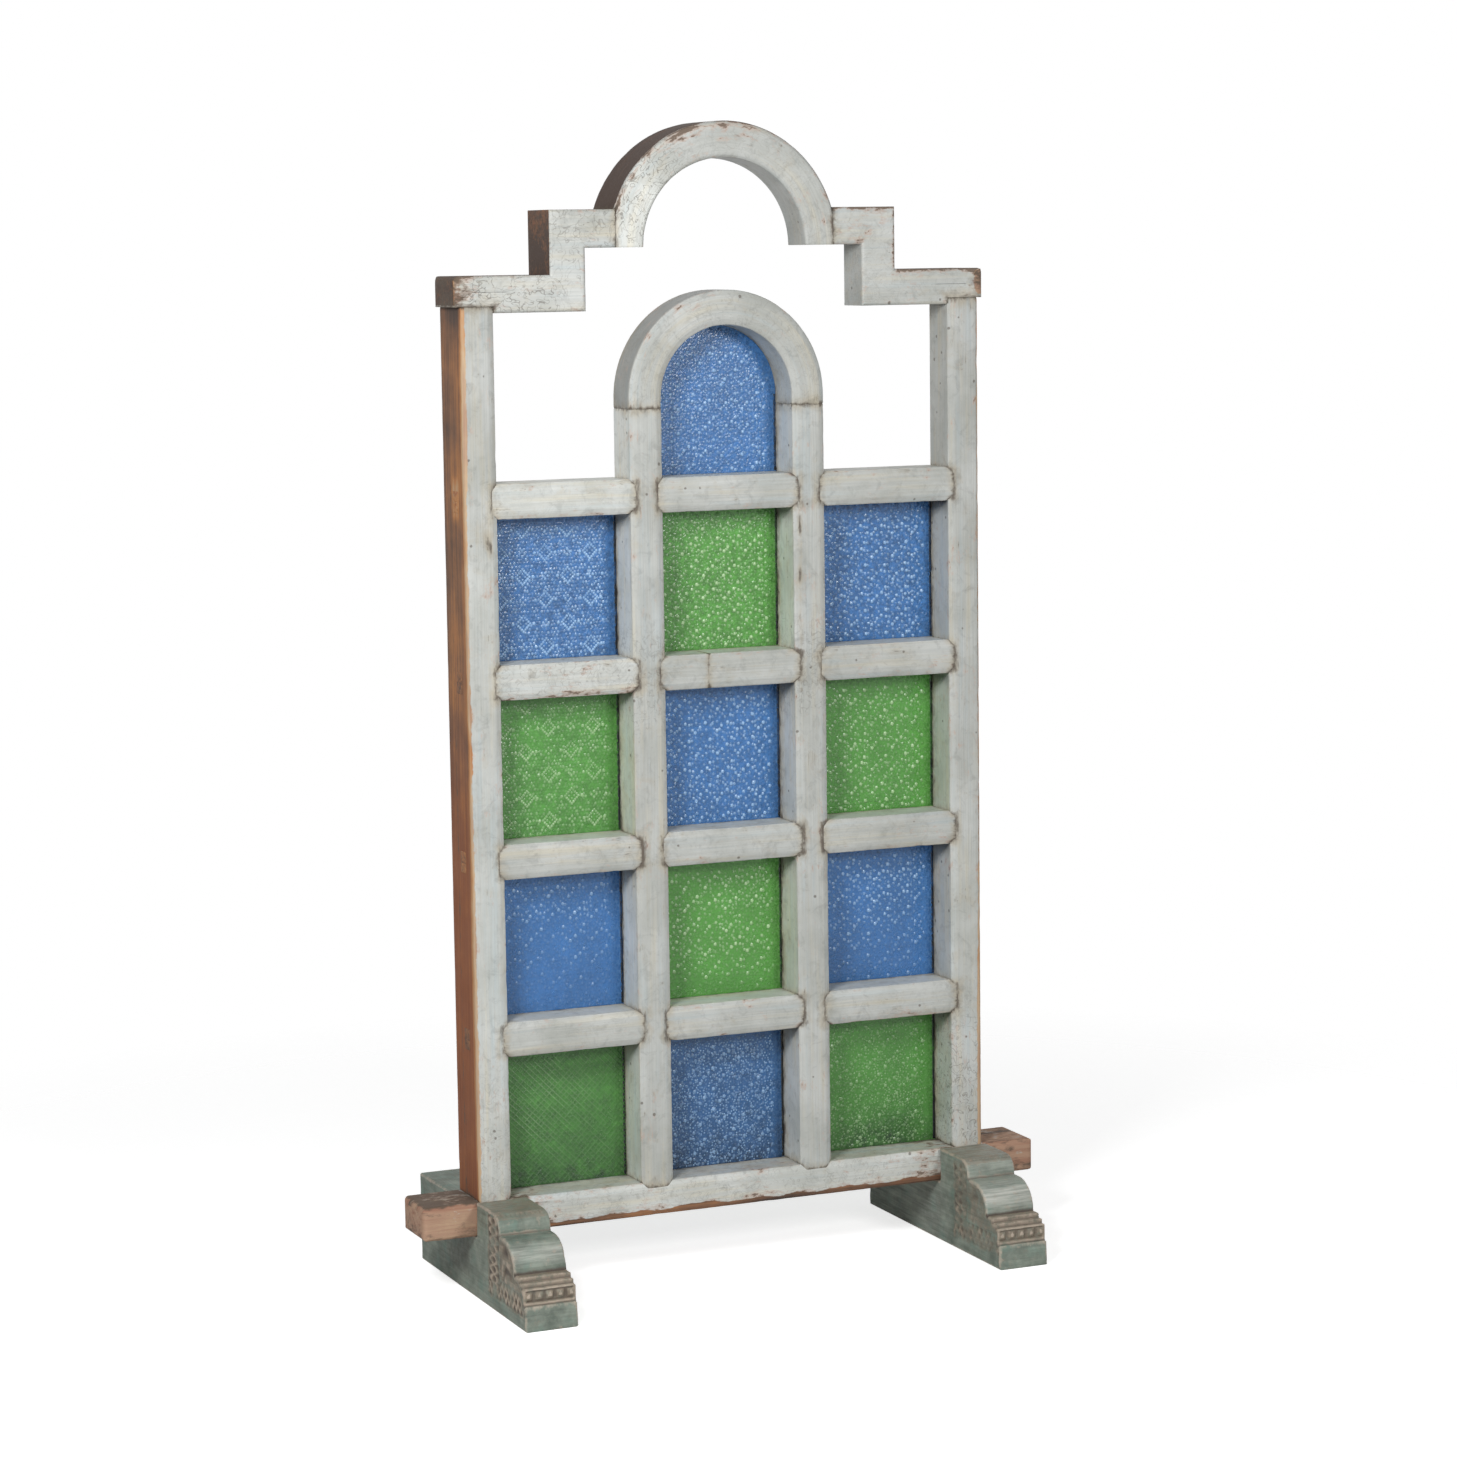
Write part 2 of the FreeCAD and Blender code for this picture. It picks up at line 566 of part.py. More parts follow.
def foot_profile():
    """Side view of a foot: mouldings up the front block, open top, plain back end. Front end first."""
    reach = ["foot_front_reach"]
    rise = ["0"]

    def moved(set_back, height, *arc):
        reach.append(f"{reach[-1]} - {set_back}")
        rise.append(f"{rise[-1]} + {height}")
        return (f"-({reach[-1]})", rise[-1]) + arc
    loop = [("-foot_front_reach", "0")]
    loop += [moved("base_lean", "base_height"), moved("base_set_back", "0"), moved("0", "collar_height")]
    loop += [moved("0", "band_height"), moved("band_set_back", "0"), moved("0", "fillet_height")]
    loop += [moved("fillet_set_back", "0"), moved("0", "fillet_height")]
    loop += [moved("ogee_set_back", "0", "ogee_radius", 1), moved("ogee_run", "ogee_height")]
    loop += [moved("neck_run", "0"), moved("0", "neck_height", "roll_radius", 1)]
    loop += [moved("roll_run", "roll_height"), ("frame_depth / 2", rise[-1])]
    end = "frame_depth + foot_back_reach"
    return loop + [("frame_depth / 2", "foot_back_height"), (end, "foot_back_height"), (end, "0")]


def make_foot(name, side):
    """Carved bracket foot with an open notch across its top, which carries the sill."""
    middle = "(frame_width / 2 + foot_overhang - foot_width / 2)"
    body = new_body(f"{name}_foot", f"{side} * {middle}", "0")
    profile = new_sketch(body, "YZ_Plane", "profile")
    outline(profile, foot_profile())
    pad(body, profile, "foot_width", "Symmetric")
    notch = new_sketch(body, "YZ_Plane", "notch")
    rectangle(notch, "-notch_clearance", "frame_depth + notch_clearance", "sill_lift", "2 * sill_lift")
    pocket(body, notch, side="Symmetric")


def build():
    make_sill()
    make_centre_arch()
    make_crown_arch()
    for name, side in SIDES:
        make_stile(name, side)
        make_mullion(name, side)
        make_head_step(name, side)
        make_foot(name, side)
    for index, row in enumerate(ROWS, start=1):
        for column, side in COLUMNS:
            opening = SIDE_OPENING if side else "centre_opening"
            pane_base = f"({row_top(row)} - {PITCH})"
            make_rail(row, column, side)
            make_pane(f"pane_{index}_{column}", side, opening, pane_base)
            make_beads(f"beads_{index}_{column}", side, opening, pane_base)
    make_arch_pane()
    make_arch_beads()
    make_tenon_wedges()
    doc.recompute()


def check():
    """Stop if an object failed, a cut took nothing away, or a piece has no sound solid."""
    for item in doc.Objects:
        if {"Invalid", "Error"} & set(item.State):
            raise RuntimeError(f"{item.Label} failed: {item.State}")
        if item.TypeId == "PartDesign::Pocket" and item.Shape.Volume > item.BaseFeature.Shape.Volume - 1:
            raise RuntimeError(f"{item.Label} cuts nothing")
    for piece in pieces:
        if piece.Shape.isNull() or not piece.Shape.isValid() or not piece.Shape.Solids:
            raise RuntimeError(f"{piece.Label} has no sound solid")


def write():
    os.makedirs("parts", exist_ok=True)
    for piece in pieces:
        piece.Shape.exportStep(f"parts/{piece.Label}.step")
    print(f"{len(pieces)} pieces, {sum(len(piece.Shape.Solids) for piece in pieces)} solids")


build()
check()
write()
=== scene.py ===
import math
import random
from functools import partial
import bmesh
import bpy
import numpy as np
from mathutils import Matrix, Vector, geometry, noise


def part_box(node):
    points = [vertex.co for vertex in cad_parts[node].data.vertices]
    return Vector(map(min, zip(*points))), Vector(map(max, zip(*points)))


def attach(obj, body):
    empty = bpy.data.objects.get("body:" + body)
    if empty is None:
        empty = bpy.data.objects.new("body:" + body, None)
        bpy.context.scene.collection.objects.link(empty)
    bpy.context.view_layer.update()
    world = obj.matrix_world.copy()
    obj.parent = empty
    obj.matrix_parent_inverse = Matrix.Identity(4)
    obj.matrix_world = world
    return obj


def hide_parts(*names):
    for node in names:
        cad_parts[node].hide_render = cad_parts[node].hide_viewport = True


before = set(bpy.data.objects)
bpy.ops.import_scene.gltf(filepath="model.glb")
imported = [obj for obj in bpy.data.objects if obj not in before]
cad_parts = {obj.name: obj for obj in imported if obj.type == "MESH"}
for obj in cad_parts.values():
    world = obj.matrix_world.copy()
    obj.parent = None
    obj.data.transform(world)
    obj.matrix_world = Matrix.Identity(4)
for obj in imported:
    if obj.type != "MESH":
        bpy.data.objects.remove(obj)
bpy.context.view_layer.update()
scene = bpy.context.scene
scene.view_settings.view_transform = "Standard"


# Sill
# The bottom timber of a house window, one long piece of hard brown wood, planed by hand and brushed with oil paint
# over many years. Its ends run out past the stiles as horns, which once sat in the wall and were never painted;
# its top front edge is bevelled and its back is rebated for the glass.

PAINT_PALE, PAINT_DULL, PAINT_WARM = "#CACCC8", "#B5B7B1", "#B7AB94"
PAINT_CREAM, PAINT_COOL, UNDERCOAT = "#CFC7B0", "#B7C3C6", "#BBA496"
SCRAPED, GRIME = "#6E5E50", "#51473C"
DARK_WOOD, BROWN_WOOD, ORANGE_WOOD, TAN_WOOD, WEATHERED = "#44352D", "#7F5B42", "#B67E4F", "#C3A888", "#AE8C75"
RED_WOOD, RUDDY_WOOD = "#87523E", "#8A4A24"


def linear(colour):
    """Turn a screen colour written as #RRGGBB into the linear values that a shader takes."""
    parts = [int(colour[i:i + 2], 16) / 255 for i in (1, 3, 5)]
    return [v / 12.92 if v <= 0.04045 else ((v + 0.055) / 1.055) ** 2.4 for v in parts] + [1.0]


def add(tree, kind, *inputs, out=None, **more):
    """Add a shader node and give its output: the first in use, or the one that out names.

    Inputs fill the sockets in order with a value, a screen colour or the socket that feeds it; more names other
    sockets and settings. Unless told otherwise a Mix mixes colours and a Math multiplies and adds. A MapRange
    takes a value, the two ends of its range, and the two ends of the new range.
    """
    made = tree.nodes.new("ShaderNode" + kind)
    usual = {"Mix": {"data_type": "RGBA"}, "Math": {"operation": "MULTIPLY_ADD"}}.get(kind, {})
    feeds = {key: value for key, value in more.items() if key in made.inputs}
    for key, value in {**usual, **more}.items():
        if key not in feeds:
            setattr(made, key, value)
    in_order = zip([socket for socket in made.inputs if socket.enabled], inputs)
    for socket, value in [*in_order, *((made.inputs[key], value) for key, value in feeds.items())]:
        if isinstance(value, bpy.types.NodeSocket):
            tree.links.new(value, socket)
        else:
            socket.default_value = linear(value) if isinstance(value, str) else value
    return made.outputs[out] if out else next((socket for socket in made.outputs if socket.enabled), None)


def blank(name):
    """A new material with no nodes yet, and a short way to add some."""
    material = bpy.data.materials.new(name)
    material.use_nodes = True
    material.node_tree.nodes.clear()
    return material, partial(add, material.node_tree)


def painted_timber():
    """Brushed oil paint over old hardwood, bare where it was never painted.

    To the eye: a dull grey-green white, mottled and streaked along the grain, rubbed through to a pinkish
    undercoat and brown wood on the arrises, and dark with dirt in the joints. Its shade and seam values also carry
    painted light and shade.
    """
    material, node = blank("brushed oil paint on old hardwood")
    place = node("Attribute", attribute_name="grain", out="Vector")
    arris, seam, bare, wear, glow, shade, crazed = (
        node("Attribute", attribute_name=key, out="Fac")
        for key in ("arris", "seam", "bare", "wear", "glow", "shade", "crazed"))
    # Mottling a hand's breadth across, then yellowed patches, most of them round the joints
    mottle = node("TexNoise", place, 11, 5, 0.6)
    paint = node("Mix", node("MapRange", mottle, 0.36, 0.66), PAINT_PALE, PAINT_DULL)
    stain = node("TexNoise", place, 26, 6, 0.66, Distortion=0.6)
    near = node("Math", seam, 0.36, stain)
    paint = node("Mix", node("MapRange", near, 0.54, 0.84, 0, 0.62), paint, PAINT_WARM)
    # Cream and bluish streaks, 10 to 20 mm wide, from coats mixed in different years
    mixed = node("TexNoise", node("Mapping", place, Scale=(3.5, 62, 62)), 1, 4, 0.6)
    for start, end, tint in ((0.54, 0.7, PAINT_CREAM), (0.46, 0.3, PAINT_COOL)):
        paint = node("Mix", node("MapRange", mixed, start, end, 0, 0.5), paint, tint)
    # Brush marks: streaks about 3 mm apart that run 120 mm along the grain
    brush = node("TexNoise", node("Mapping", place, Scale=(9, 330, 330)), 1, 3)
    paint = node("Mix", 1, paint, node("MapRange", brush, 0.3, 0.7, 0.91, 1.04), blend_type="MULTIPLY")
    # Each piece has its own number of coats, so its own shade, and is smudged by hands
    # Shade also carries painted light and shade: paler reveals and rail tops, darker under rails and on inner sides
    handled = node("Math", seam, 0.11, node("TexNoise", place, 48, 7, 0.7, Distortion=0.8))
    coat = node("Math", shade, node("MapRange", handled, 0.52, 0.74, 1, 0.72), operation="MULTIPLY")
    paint = node("Mix", 1, paint, coat, blend_type="MULTIPLY")
    # Hairline splits along the grain, few and short, and curling cracks where the paint is crazed
    split = node("TexNoise", node("Mapping", place, Scale=(7, 110, 110)), 1, 2, Distortion=0.4)
    split = node("Math", node("Math", split, 0.5, operation="SUBTRACT"), operation="ABSOLUTE")
    split_patch = node("Math", node("MapRange", stain, 0.57, 0.66), node("MapRange", wear, 0.65, 0.9),
                       operation="MAXIMUM")
    splits = node("Math", node("MapRange", split, 0.004, 0.014, 0.55, 0), split_patch, operation="MULTIPLY")
    crack = node("TexNoise", node("Mapping", place, Scale=(58, 62, 62)), 1, 1, 0.5, Distortion=1.3)
    crack = node("Math", node("Math", crack, 0.52, operation="SUBTRACT"), operation="ABSOLUTE")
    crack_patch = node("Math", node("MapRange", mottle, 0.3, 0.44), crazed, operation="MULTIPLY")
    cracks = node("Math", node("MapRange", crack, 0.008, 0.027, 0.56, 0), crack_patch, operation="MULTIPLY")
    splits = node("Math", splits, cracks, operation="MAXIMUM")
    # Chips: in clusters, most where an arris has been knocked or the paint is worn
    chip = node("TexNoise", node("Mapping", place, Scale=(62, 150, 150)), 1, 7, 0.62)
    worn = node("Math", node("TexNoise", place, 21, 4, 0.6), 0.7, chip)
    worn = node("Math", wear, 0.13, node("Math", arris, 0.07, worn))
    worn = node("Math", worn, node("MapRange", wear, 0.6, 1, 0, 0.2), operation="ADD")
    paint = node("Mix", node("MapRange", worn, 1.03, 1.18, 0, 0.75), paint, UNDERCOAT)
    gone = node("MapRange", worn, 1.16, 1.23, 0, 0.9)
    paint = node("Mix", gone, paint, SCRAPED)
    paint = node("Mix", splits, paint, GRIME)
    # Dents and old nail holes, dark spots some 4 mm across
    dent = node("TexVoronoi", place, 38)
    some = node("Math", dent.node.outputs["Color"], 0.66, operation="GREATER_THAN")
    dents = node("MapRange", node("Math", chip, -0.21, dent), -0.03, 0.005, 0.7, 0)
    paint = node("Mix", node("Math", dents, some, operation="MULTIPLY"), paint, GRIME)
    # Bare wood: from dark through brown and orange to tan, as its glow rises, uneven along the grain
    grain = node("TexNoise", node("Mapping", place, Scale=(3, 130, 130)), 1, 6, 0.65, Distortion=0.3)
    tone = node("Math", grain, 1.1, node("TexNoise", place, 9, 4, 0.6))
    tone = node("Math", glow, 1, node("Math", tone, 1.6, -1.68))
    wood = DARK_WOOD
    for start, tint in ((0, BROWN_WOOD), (0.5, ORANGE_WOOD), (1, TAN_WOOD), (1.5, WEATHERED)):
        wood = node("Mix", node("MapRange", tone, start, start + 0.5), wood, tint)
    red = node("TexNoise", node("Mapping", place, Scale=(2.2, 70, 70)), 1, 3, 0.6)
    reddened = node("MapRange", red, 0.5, 0.66, 0, 0.58)
    wood = node("Mix", node("MapRange", tone, 0, 1, 0, reddened), wood, RED_WOOD)
    # Where it is marked as more than bare, rain has not reached the wood and it has kept its ruddy colour
    wood = node("Mix", node("MapRange", bare, 1, 1.5, 0, 0.62), wood, RUDDY_WOOD)
    open_wood = node("MapRange", node("Math", worn, 0.6, bare), 1.02, 1.12)
    colour = node("Mix", open_wood, paint, wood)
    # Dirt packed in the joints, a line 2 to 3 mm wide and uneven along them, and painted shade in the corner by the
    # glass
    dirt = node("Math", worn, 1.4, seam)
    colour = node("Mix", node("MapRange", dirt, 1.98, 2.36, 0, 0.9), colour, GRIME)
    # Surface: brush ridges, chip edges and grain stand up from it
    open_all = node("Math", open_wood, gone, operation="MAXIMUM")
    height = node("Math", splits, -0.6, node("Math", open_all, -0.5, brush))
    bump = node("Bump", Strength=0.55, Distance=0.0009, Height=node("Math", grain, 0.5, height))
    rough = node("Math", open_all, 0.3, node("MapRange", mottle, 0, 1, 0.36, 0.6), use_clamp=True)
    node("OutputMaterial", node("BsdfPrincipled", colour, Roughness=rough, Normal=bump))
    return material


PAINTED = painted_timber()


def box(node):
    """Lowest and highest corner of a CAD node, in mm."""
    return [corner * 1000 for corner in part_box(node)]


def ramp(value, start, end):
    """From 0 where value is at start to 1 where it is at end, and level outside."""
    return np.clip((value - start) / (end - start), 0, 1)


def ripple(points, size, seed):
    """Smooth random values between -1 and 1 at points in mm, with swells about size mm across."""
    shift = Vector((seed * 17.3, seed * 5.9, seed * 31.7))
    return np.array([noise.noise(Vector(p) / size + shift) for p in points.reshape(-1, 3)]).reshape(points.shape[:-1])


def wander(along, size, seed):
    """The same, by the place along a bar alone."""
    return ripple(np.stack([along, 0 * along, 0 * along], -1), size, seed)


def winding(flat):
    """1 where a closed outline runs against the clock, otherwise -1."""
    after = np.roll(flat, -1, 0)
    return 1 if np.sum(flat[:, 0] * after[:, 1] - after[:, 0] * flat[:, 1]) > 0 else -1


def eased_loop(corners, step=6.0):
    """Closed section through (across, depth, easing, wear) corners, as points, outward normals and wear."""
    count = len(corners)
    flat = np.array([c[:2] for c in corners], float)
    arcs = []
    for i, (easing, wear) in enumerate(c[2:] for c in corners):
        first, last = (flat[i] + way / np.linalg.norm(way) * easing
                       for way in (flat[i - 1] - flat[i], flat[(i + 1) % count] - flat[i]))
        arcs.append((first, (first + last) / 4 + flat[i] / 2, last, wear))
    points, wears = [], []
    for i, (first, top, last, wear) in enumerate(arcs):
        points += [first, top, last]
        wears += [wear * 0.9, wear, wear * 0.9]
        following = arcs[(i + 1) % count]
        length = np.linalg.norm(following[0] - last)
        pieces = max(1, math.ceil(length / step))
        for k in range(1, pieces):
            points.append(last + (following[0] - last) * k / pieces)
            run = length * k / pieces
            wears.append(max(wear * (1 - run / 8), following[3] * (1 - (length - run) / 8), 0))
    points = np.array(points)
    along = np.roll(points, -1, 0) - np.roll(points, 1, 0)
    normals = np.stack([along[:, 1], -along[:, 0]], 1) / np.linalg.norm(along, axis=1, keepdims=True)
    return points, normals * winding(points), np.array(wears)


def bands(rings, count, capped=True):
    """Faces that join rings of points, count points in each, and close the two ends."""
    faces = [(r * count + k, r * count + (k + 1) % count, (r + 1) * count + (k + 1) % count, (r + 1) * count + k)
             for r in range(rings - 1) for k in range(count)]
    return faces + [tuple(range(count)), tuple(range((rings - 1) * count, rings * count))] if capped else faces


def shell(name, points, faces, finish, values, body="frame", replaces=True, smooth=38):
    """Make a piece from points in mm, with its finish and its values per point, and let it ride its body."""
    mesh = bpy.data.meshes.new(name)
    mesh.from_pydata((np.asarray(points) / 1000).tolist(), [], faces)
    edit = bmesh.new()
    edit.from_mesh(mesh)
    bmesh.ops.recalc_face_normals(edit, faces=edit.faces)
    edit.to_mesh(mesh)
    edit.free()
    for key, value in values.items():
        value = np.asarray(value, np.float32)
        kind, field = ("FLOAT_VECTOR", "vector") if value.ndim == 2 else ("FLOAT", "value")
        mesh.attributes.new(key, kind, "POINT").data.foreach_set(field, value.ravel())
    mesh.materials.append(finish)
    mesh.shade_smooth()
    mesh.set_sharp_from_angle(angle=math.radians(smooth))
    piece = bpy.data.objects.new(name, mesh)
    scene.collection.objects.link(piece)
    if replaces:
        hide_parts(name)
    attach(piece, body)


def timber(name, corners, start, end, place, seed, seams=None, glazed=1.0, trim=None, eased=(1, 1), **looks):
    """One bar: its section carried from start to end (numbers, or functions of depth), worn and uneven.

    Each look (bare, glow, wear, shade, crazed) is a number or a function of the place along, across and in depth.
    """
    loop, normals, knocked = eased_loop(corners)
    first, last = (np.array([at(d) if callable(at) else at for d in loop[:, 1]], float) for at in (start, end))
    length = abs(np.mean(last) - np.mean(first))
    near = [0, 0.9, 2.2, 4.5, 8, 13]
    inner = list(np.linspace(20, length - 20, max(2, int((length - 40) / 8))))
    run = np.array(near + inner + [length - n for n in reversed(near)]) / length
    along = first + run[:, None] * (last - first)
    from_first, from_last = run * length, (1 - run) * length
    pull = (eased[0] * ramp(from_first, 2.4, 0) ** 2 + eased[1] * ramp(from_last, 2.4, 0) ** 2)[:, None]
    across, depth = loop[:, 0] - normals[:, 0] * pull, loop[:, 1] - normals[:, 1] * pull
    spots = np.stack([along, across, depth], -1)
    swell = 0.3 * ripple(spots, 70, seed)
    knock = 1.7 * np.clip(ripple(spots, 24, seed + 3) - 0.15, 0, 1) \
        + 0.8 * np.clip(ripple(spots, 7, seed + 5) - 0.15, 0, 1)
    shift = np.minimum(swell - knock * knocked, 0.0)
    across, depth = across + normals[:, 0] * shift, depth + normals[:, 1] * shift
    if trim:
        along, across, depth = trim(along, across, depth)
    ends = np.maximum(ramp(from_first, 16, 0), ramp(from_last, 16, 0))[:, None]
    dirty = ends if seams is None else seams(along, across, depth, ends)
    # Dirt and a painted shade darken the paint in the corner where a reveal meets the glass
    glass_corner_dirt_and_shade = np.where(depth < GLASS_DEPTH + 0.5, ramp(depth, GLASS_DEPTH - 26, GLASS_DEPTH), 0)
    values = {"arris": knocked * (1 + np.clip(knock, 0, 1)),
              "seam": np.maximum(dirty, glass_corner_dirt_and_shade * (glazed(along, across) if callable(glazed) else glazed))}
    for key, usual in {"bare": 0.0, "glow": 0.5, "wear": 0.0, "shade": 1.0, "crazed": 0.0}.items():
        look = looks.get(key, usual)
        values[key] = look(along, across, depth) if callable(look) else look
    values = {key: (value + np.zeros_like(along)).ravel() for key, value in values.items()}
    values["grain"] = spots.reshape(-1, 3) / 1000 + np.array([1.37, 0.71, 0.43]) * seed
    points = np.stack(place(along, across, depth), -1).reshape(-1, 3)
    shell(name, points, bands(*along.shape), PAINTED, values)


SILL_LOW, SILL_HIGH = box("sill")
SILL_TALL = SILL_HIGH.z - SILL_LOW.z
FACE_Y = SILL_LOW.y                       # the painted face of the whole frame
DEEP = SILL_HIGH.y - SILL_LOW.y           # painted face to back face
GLASS_DEPTH, REBATE = 69.0, 15.0          # painted face to the glass; how far the glass is let in
BEVEL, BEVEL_DEPTH = 10.0, 4.0
HORN_ROUND = 9
STILE_IN, STILE_OUT = (corner.x * 1000 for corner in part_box("right_stile"))


def sill_trim(along, across, depth):
    """Fill the rebate past the stiles and round the ends of the horns."""
    solid = (np.abs(along) > STILE_IN + REBATE) & (depth > GLASS_DEPTH - 1.5) & (across > SILL_TALL - REBATE - 2.5)
    left = np.clip(HORN_ROUND - (SILL_HIGH.x - np.abs(along)), 0, HORN_ROUND)
    pull = HORN_ROUND - np.sqrt(HORN_ROUND ** 2 - left ** 2)
    across = np.clip(np.where(solid, SILL_TALL, across), pull, SILL_TALL - pull)
    return along, across, np.clip(depth, pull, DEEP - pull)


def sill_bare(along, across, depth):
    """Unpainted: both horns but for some smears, the underside, and a ragged strip along the bottom of the front."""
    horn = ramp(np.abs(along), STILE_OUT - 4, STILE_OUT + 4) * np.where(depth < 8, 0.56, 0.5)
    ragged = 12 + 5 * wander(along, 40, 9)
    return np.maximum(horn, np.clip((ragged - across) / 6, 0, 1))


def sill_seams(along, across, depth, ends):
    """Dirt on the sill: along its top edge, and all over the horns, thickest on top of the left one."""
    top = ramp(across, SILL_TALL - 3, SILL_TALL)
    horn = np.where(along < 0, 0.3 + 0.56 * top, 0.38 + 0.1 * top)
    return np.where(np.abs(along) > STILE_OUT, horn, 0.4 * top)


timber("sill",
       [(0, 4, 2, 0.8), (0, DEEP, 1.5, 0.4), (SILL_TALL - REBATE, DEEP, 1, 0.3),
        (SILL_TALL - REBATE, GLASS_DEPTH, 0.5, 0), (SILL_TALL, GLASS_DEPTH, 0.8, 0.2),
        (SILL_TALL, BEVEL_DEPTH, 1.5, 0.9), (SILL_TALL - BEVEL, 0, 2, 0.5), (4, 0, 2, 0.8)],
       -SILL_HIGH.x, SILL_HIGH.x,
       lambda along, across, depth: (along, FACE_Y + depth, SILL_LOW.z + across),
       seed=1, bare=sill_bare, trim=sill_trim, eased=(0, 0), seams=sill_seams, crazed=0.35, shade=1.07,
       glow=lambda along, across, depth: np.where(np.abs(along) < STILE_OUT, 0.35, 2.1),
       wear=lambda along, across, depth: 0.5 + 0.35 * ramp(np.abs(along), 280, 360) + 0.3 * ramp(across, 24, 14))


# Stiles
# The two outer posts, mortised for the rails. Their outer sides lay against the wall and are bare brown
# wood; the inner edge is bevelled in front and rebated behind, and the foot is scribed over the sill.

SIDES = {"left": -1, "right": 1}
SILL_TOP, STILE_TOP = SILL_HIGH.z, 1577.0
STILE_HALF = (STILE_OUT - STILE_IN) / 2
ROWS = {row: [corner.z * 1000 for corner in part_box(f"rail_{row}_centre")] for row in "abcd"}


def scribed_down(depth):
    """Lower end of a post: over the bevel of the sill in front, flush with its top behind."""
    return SILL_TOP - BEVEL * (1 - max(depth, 0) / BEVEL_DEPTH) if depth < BEVEL_DEPTH else SILL_TOP


def post_seams(along, across, ends, half, signs):
    """Dirt on a post: round the ends of the rails on the given sides (+1, -1), and at its own ends."""
    dirty = np.array(np.broadcast_to(ends, along.shape))
    for low, high in ROWS.values():
        for sign in signs:
            past = np.clip(half - BEVEL - sign * across, 0, None)
            beside = np.maximum(np.maximum(low + 5 - along, along - high + 5), 0)
            round_end = np.where(sign * across > 0, ramp(np.hypot(past, beside), 16, 0), 0)
            dirty = np.maximum(dirty, round_end)
    return dirty


def in_reveal(along, depth, glazed, reveal_light):
    """Shade of a post: painted light makes it paler inside the openings, and a painted shadow makes it black under each
    rail.
    """
    inside = ramp(depth, 4, 9) * glazed
    under = np.max([ramp(along, low - 26, low) * (along < low) for low, high in ROWS.values()], 0)
    return 1 + reveal_light * inside - 0.9 * under * inside


def stile_glow(along, across, depth):
    """Colour of a stile's bare side: tan along the front arris, dark at the back and the top, orange beside row a."""
    uneven = ripple(np.stack([along, 3 * across, 3 * depth], -1), 90, 12)
    by_tenon = ramp(np.abs(along - sum(ROWS["a"]) / 2 - 4), 40, 26) * ramp(np.abs(depth - 43), 17, 10)
    return 0.5 + (1.1 + 0.35 * uneven) * ramp(depth, 14, 3) + 0.62 * by_tenon - 0.12 * ramp(depth, 80, 92) \
        - 0.14 * ramp(along, 1320, 1380) - 0.25 * ramp(along, 1480, 1560)


def gouge(along, across, depth):
    """The left stile is gouged in its face, a hand's breadth under the top rail: 1 at the middle, 0 outside."""
    below = along - ROWS["a"][0] + 40
    return np.exp(-(below / 18) ** 2 - ((across + 12 - 0.19 * below) / 6.5) ** 2) * (depth < 4)


for name, side in SIDES.items():
    def stile_seams(along, across, depth, ends):
        """Dirt on a stile: round the ends of the rails, and in the gouge of the left one."""
        joints = post_seams(along, across, ends, STILE_HALF, (-1,))
        return np.maximum(joints, 1.35 * gouge(along, across, depth) * (side < 0))

    def stile_shade(along, across, depth):
        """Shade of a stile's paint: greyer towards the head, most of all on the left, paler towards the sill, with the
        painted light and shadow of the reveals.
        """
        grey = (0.09 - 0.05 * side) * ramp(along, 1130, 1380)
        face = 0.93 - 0.02 * side - grey + 0.08 * ramp(along, 900, 500)
        return face * in_reveal(along, depth, along < ROWS["a"][0], 0.06)

    def stile_bare(along, across, depth):
        """Bare: the outer side and a little round its arris, wider low on the right and high on the left."""
        wider = (2.5 + 2.5 * side) * ramp(along, 700, 400) + (1.5 - 1.5 * side) * ramp(along, 1280, 1340)
        ruddy = 0.5 * ramp(along, 1000, 700) * ramp(depth, 10, 18)
        return ramp(across + wider, STILE_HALF - 9.5, STILE_HALF - 0.5) * (0.74 + 0.26 * (depth > 3) + ruddy)

    timber(f"{name}_stile",
           [(-STILE_HALF + BEVEL, 0, 2, 0.4), (STILE_HALF - 4, 0, 2, 0.9), (STILE_HALF, 4, 2, 0.9),
            (STILE_HALF, DEEP, 1.5, 0.4), (-STILE_HALF + REBATE, DEEP, 1, 0.3),
            (-STILE_HALF + REBATE, GLASS_DEPTH, 0.5, 0), (-STILE_HALF, GLASS_DEPTH, 0.8, 0.2),
            (-STILE_HALF, BEVEL_DEPTH, 1.5, 0.9)],
           scribed_down, STILE_TOP,
           lambda along, across, depth: (side * ((STILE_OUT + STILE_IN) / 2 + across), FACE_Y + depth, along),
           seed=2 + side, seams=stile_seams, glazed=lambda along, across: along < ROWS["a"][1],
           trim=lambda along, across, depth: (along, across,
                                              depth + (1.3 - 1.3 * side) * gouge(along, across, depth)),
           bare=stile_bare, glow=stile_glow, shade=stile_shade,
           wear=lambda along, across, depth: 0.3 + 0.3 * ramp(along, 420, 270),
           crazed=lambda along, across, depth: (0.65 + 0.25 * side) * ramp(along, 460, 310))


# Mullions
# The two inner posts, from the sill to the feet of the middle arch, bevelled in front and rebated behind on
# both edges, with mortises for the rails on either side.

MULLION_LOW, MULLION_HIGH = box("right_mullion")
MULLION_X = (MULLION_LOW.x + MULLION_HIGH.x) / 2
MULLION_HALF = (MULLION_HIGH.x - MULLION_LOW.x) / 2
ARCH_FOOT, ARCH_TOP = (corner.z * 1000 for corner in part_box("centre_arch"))


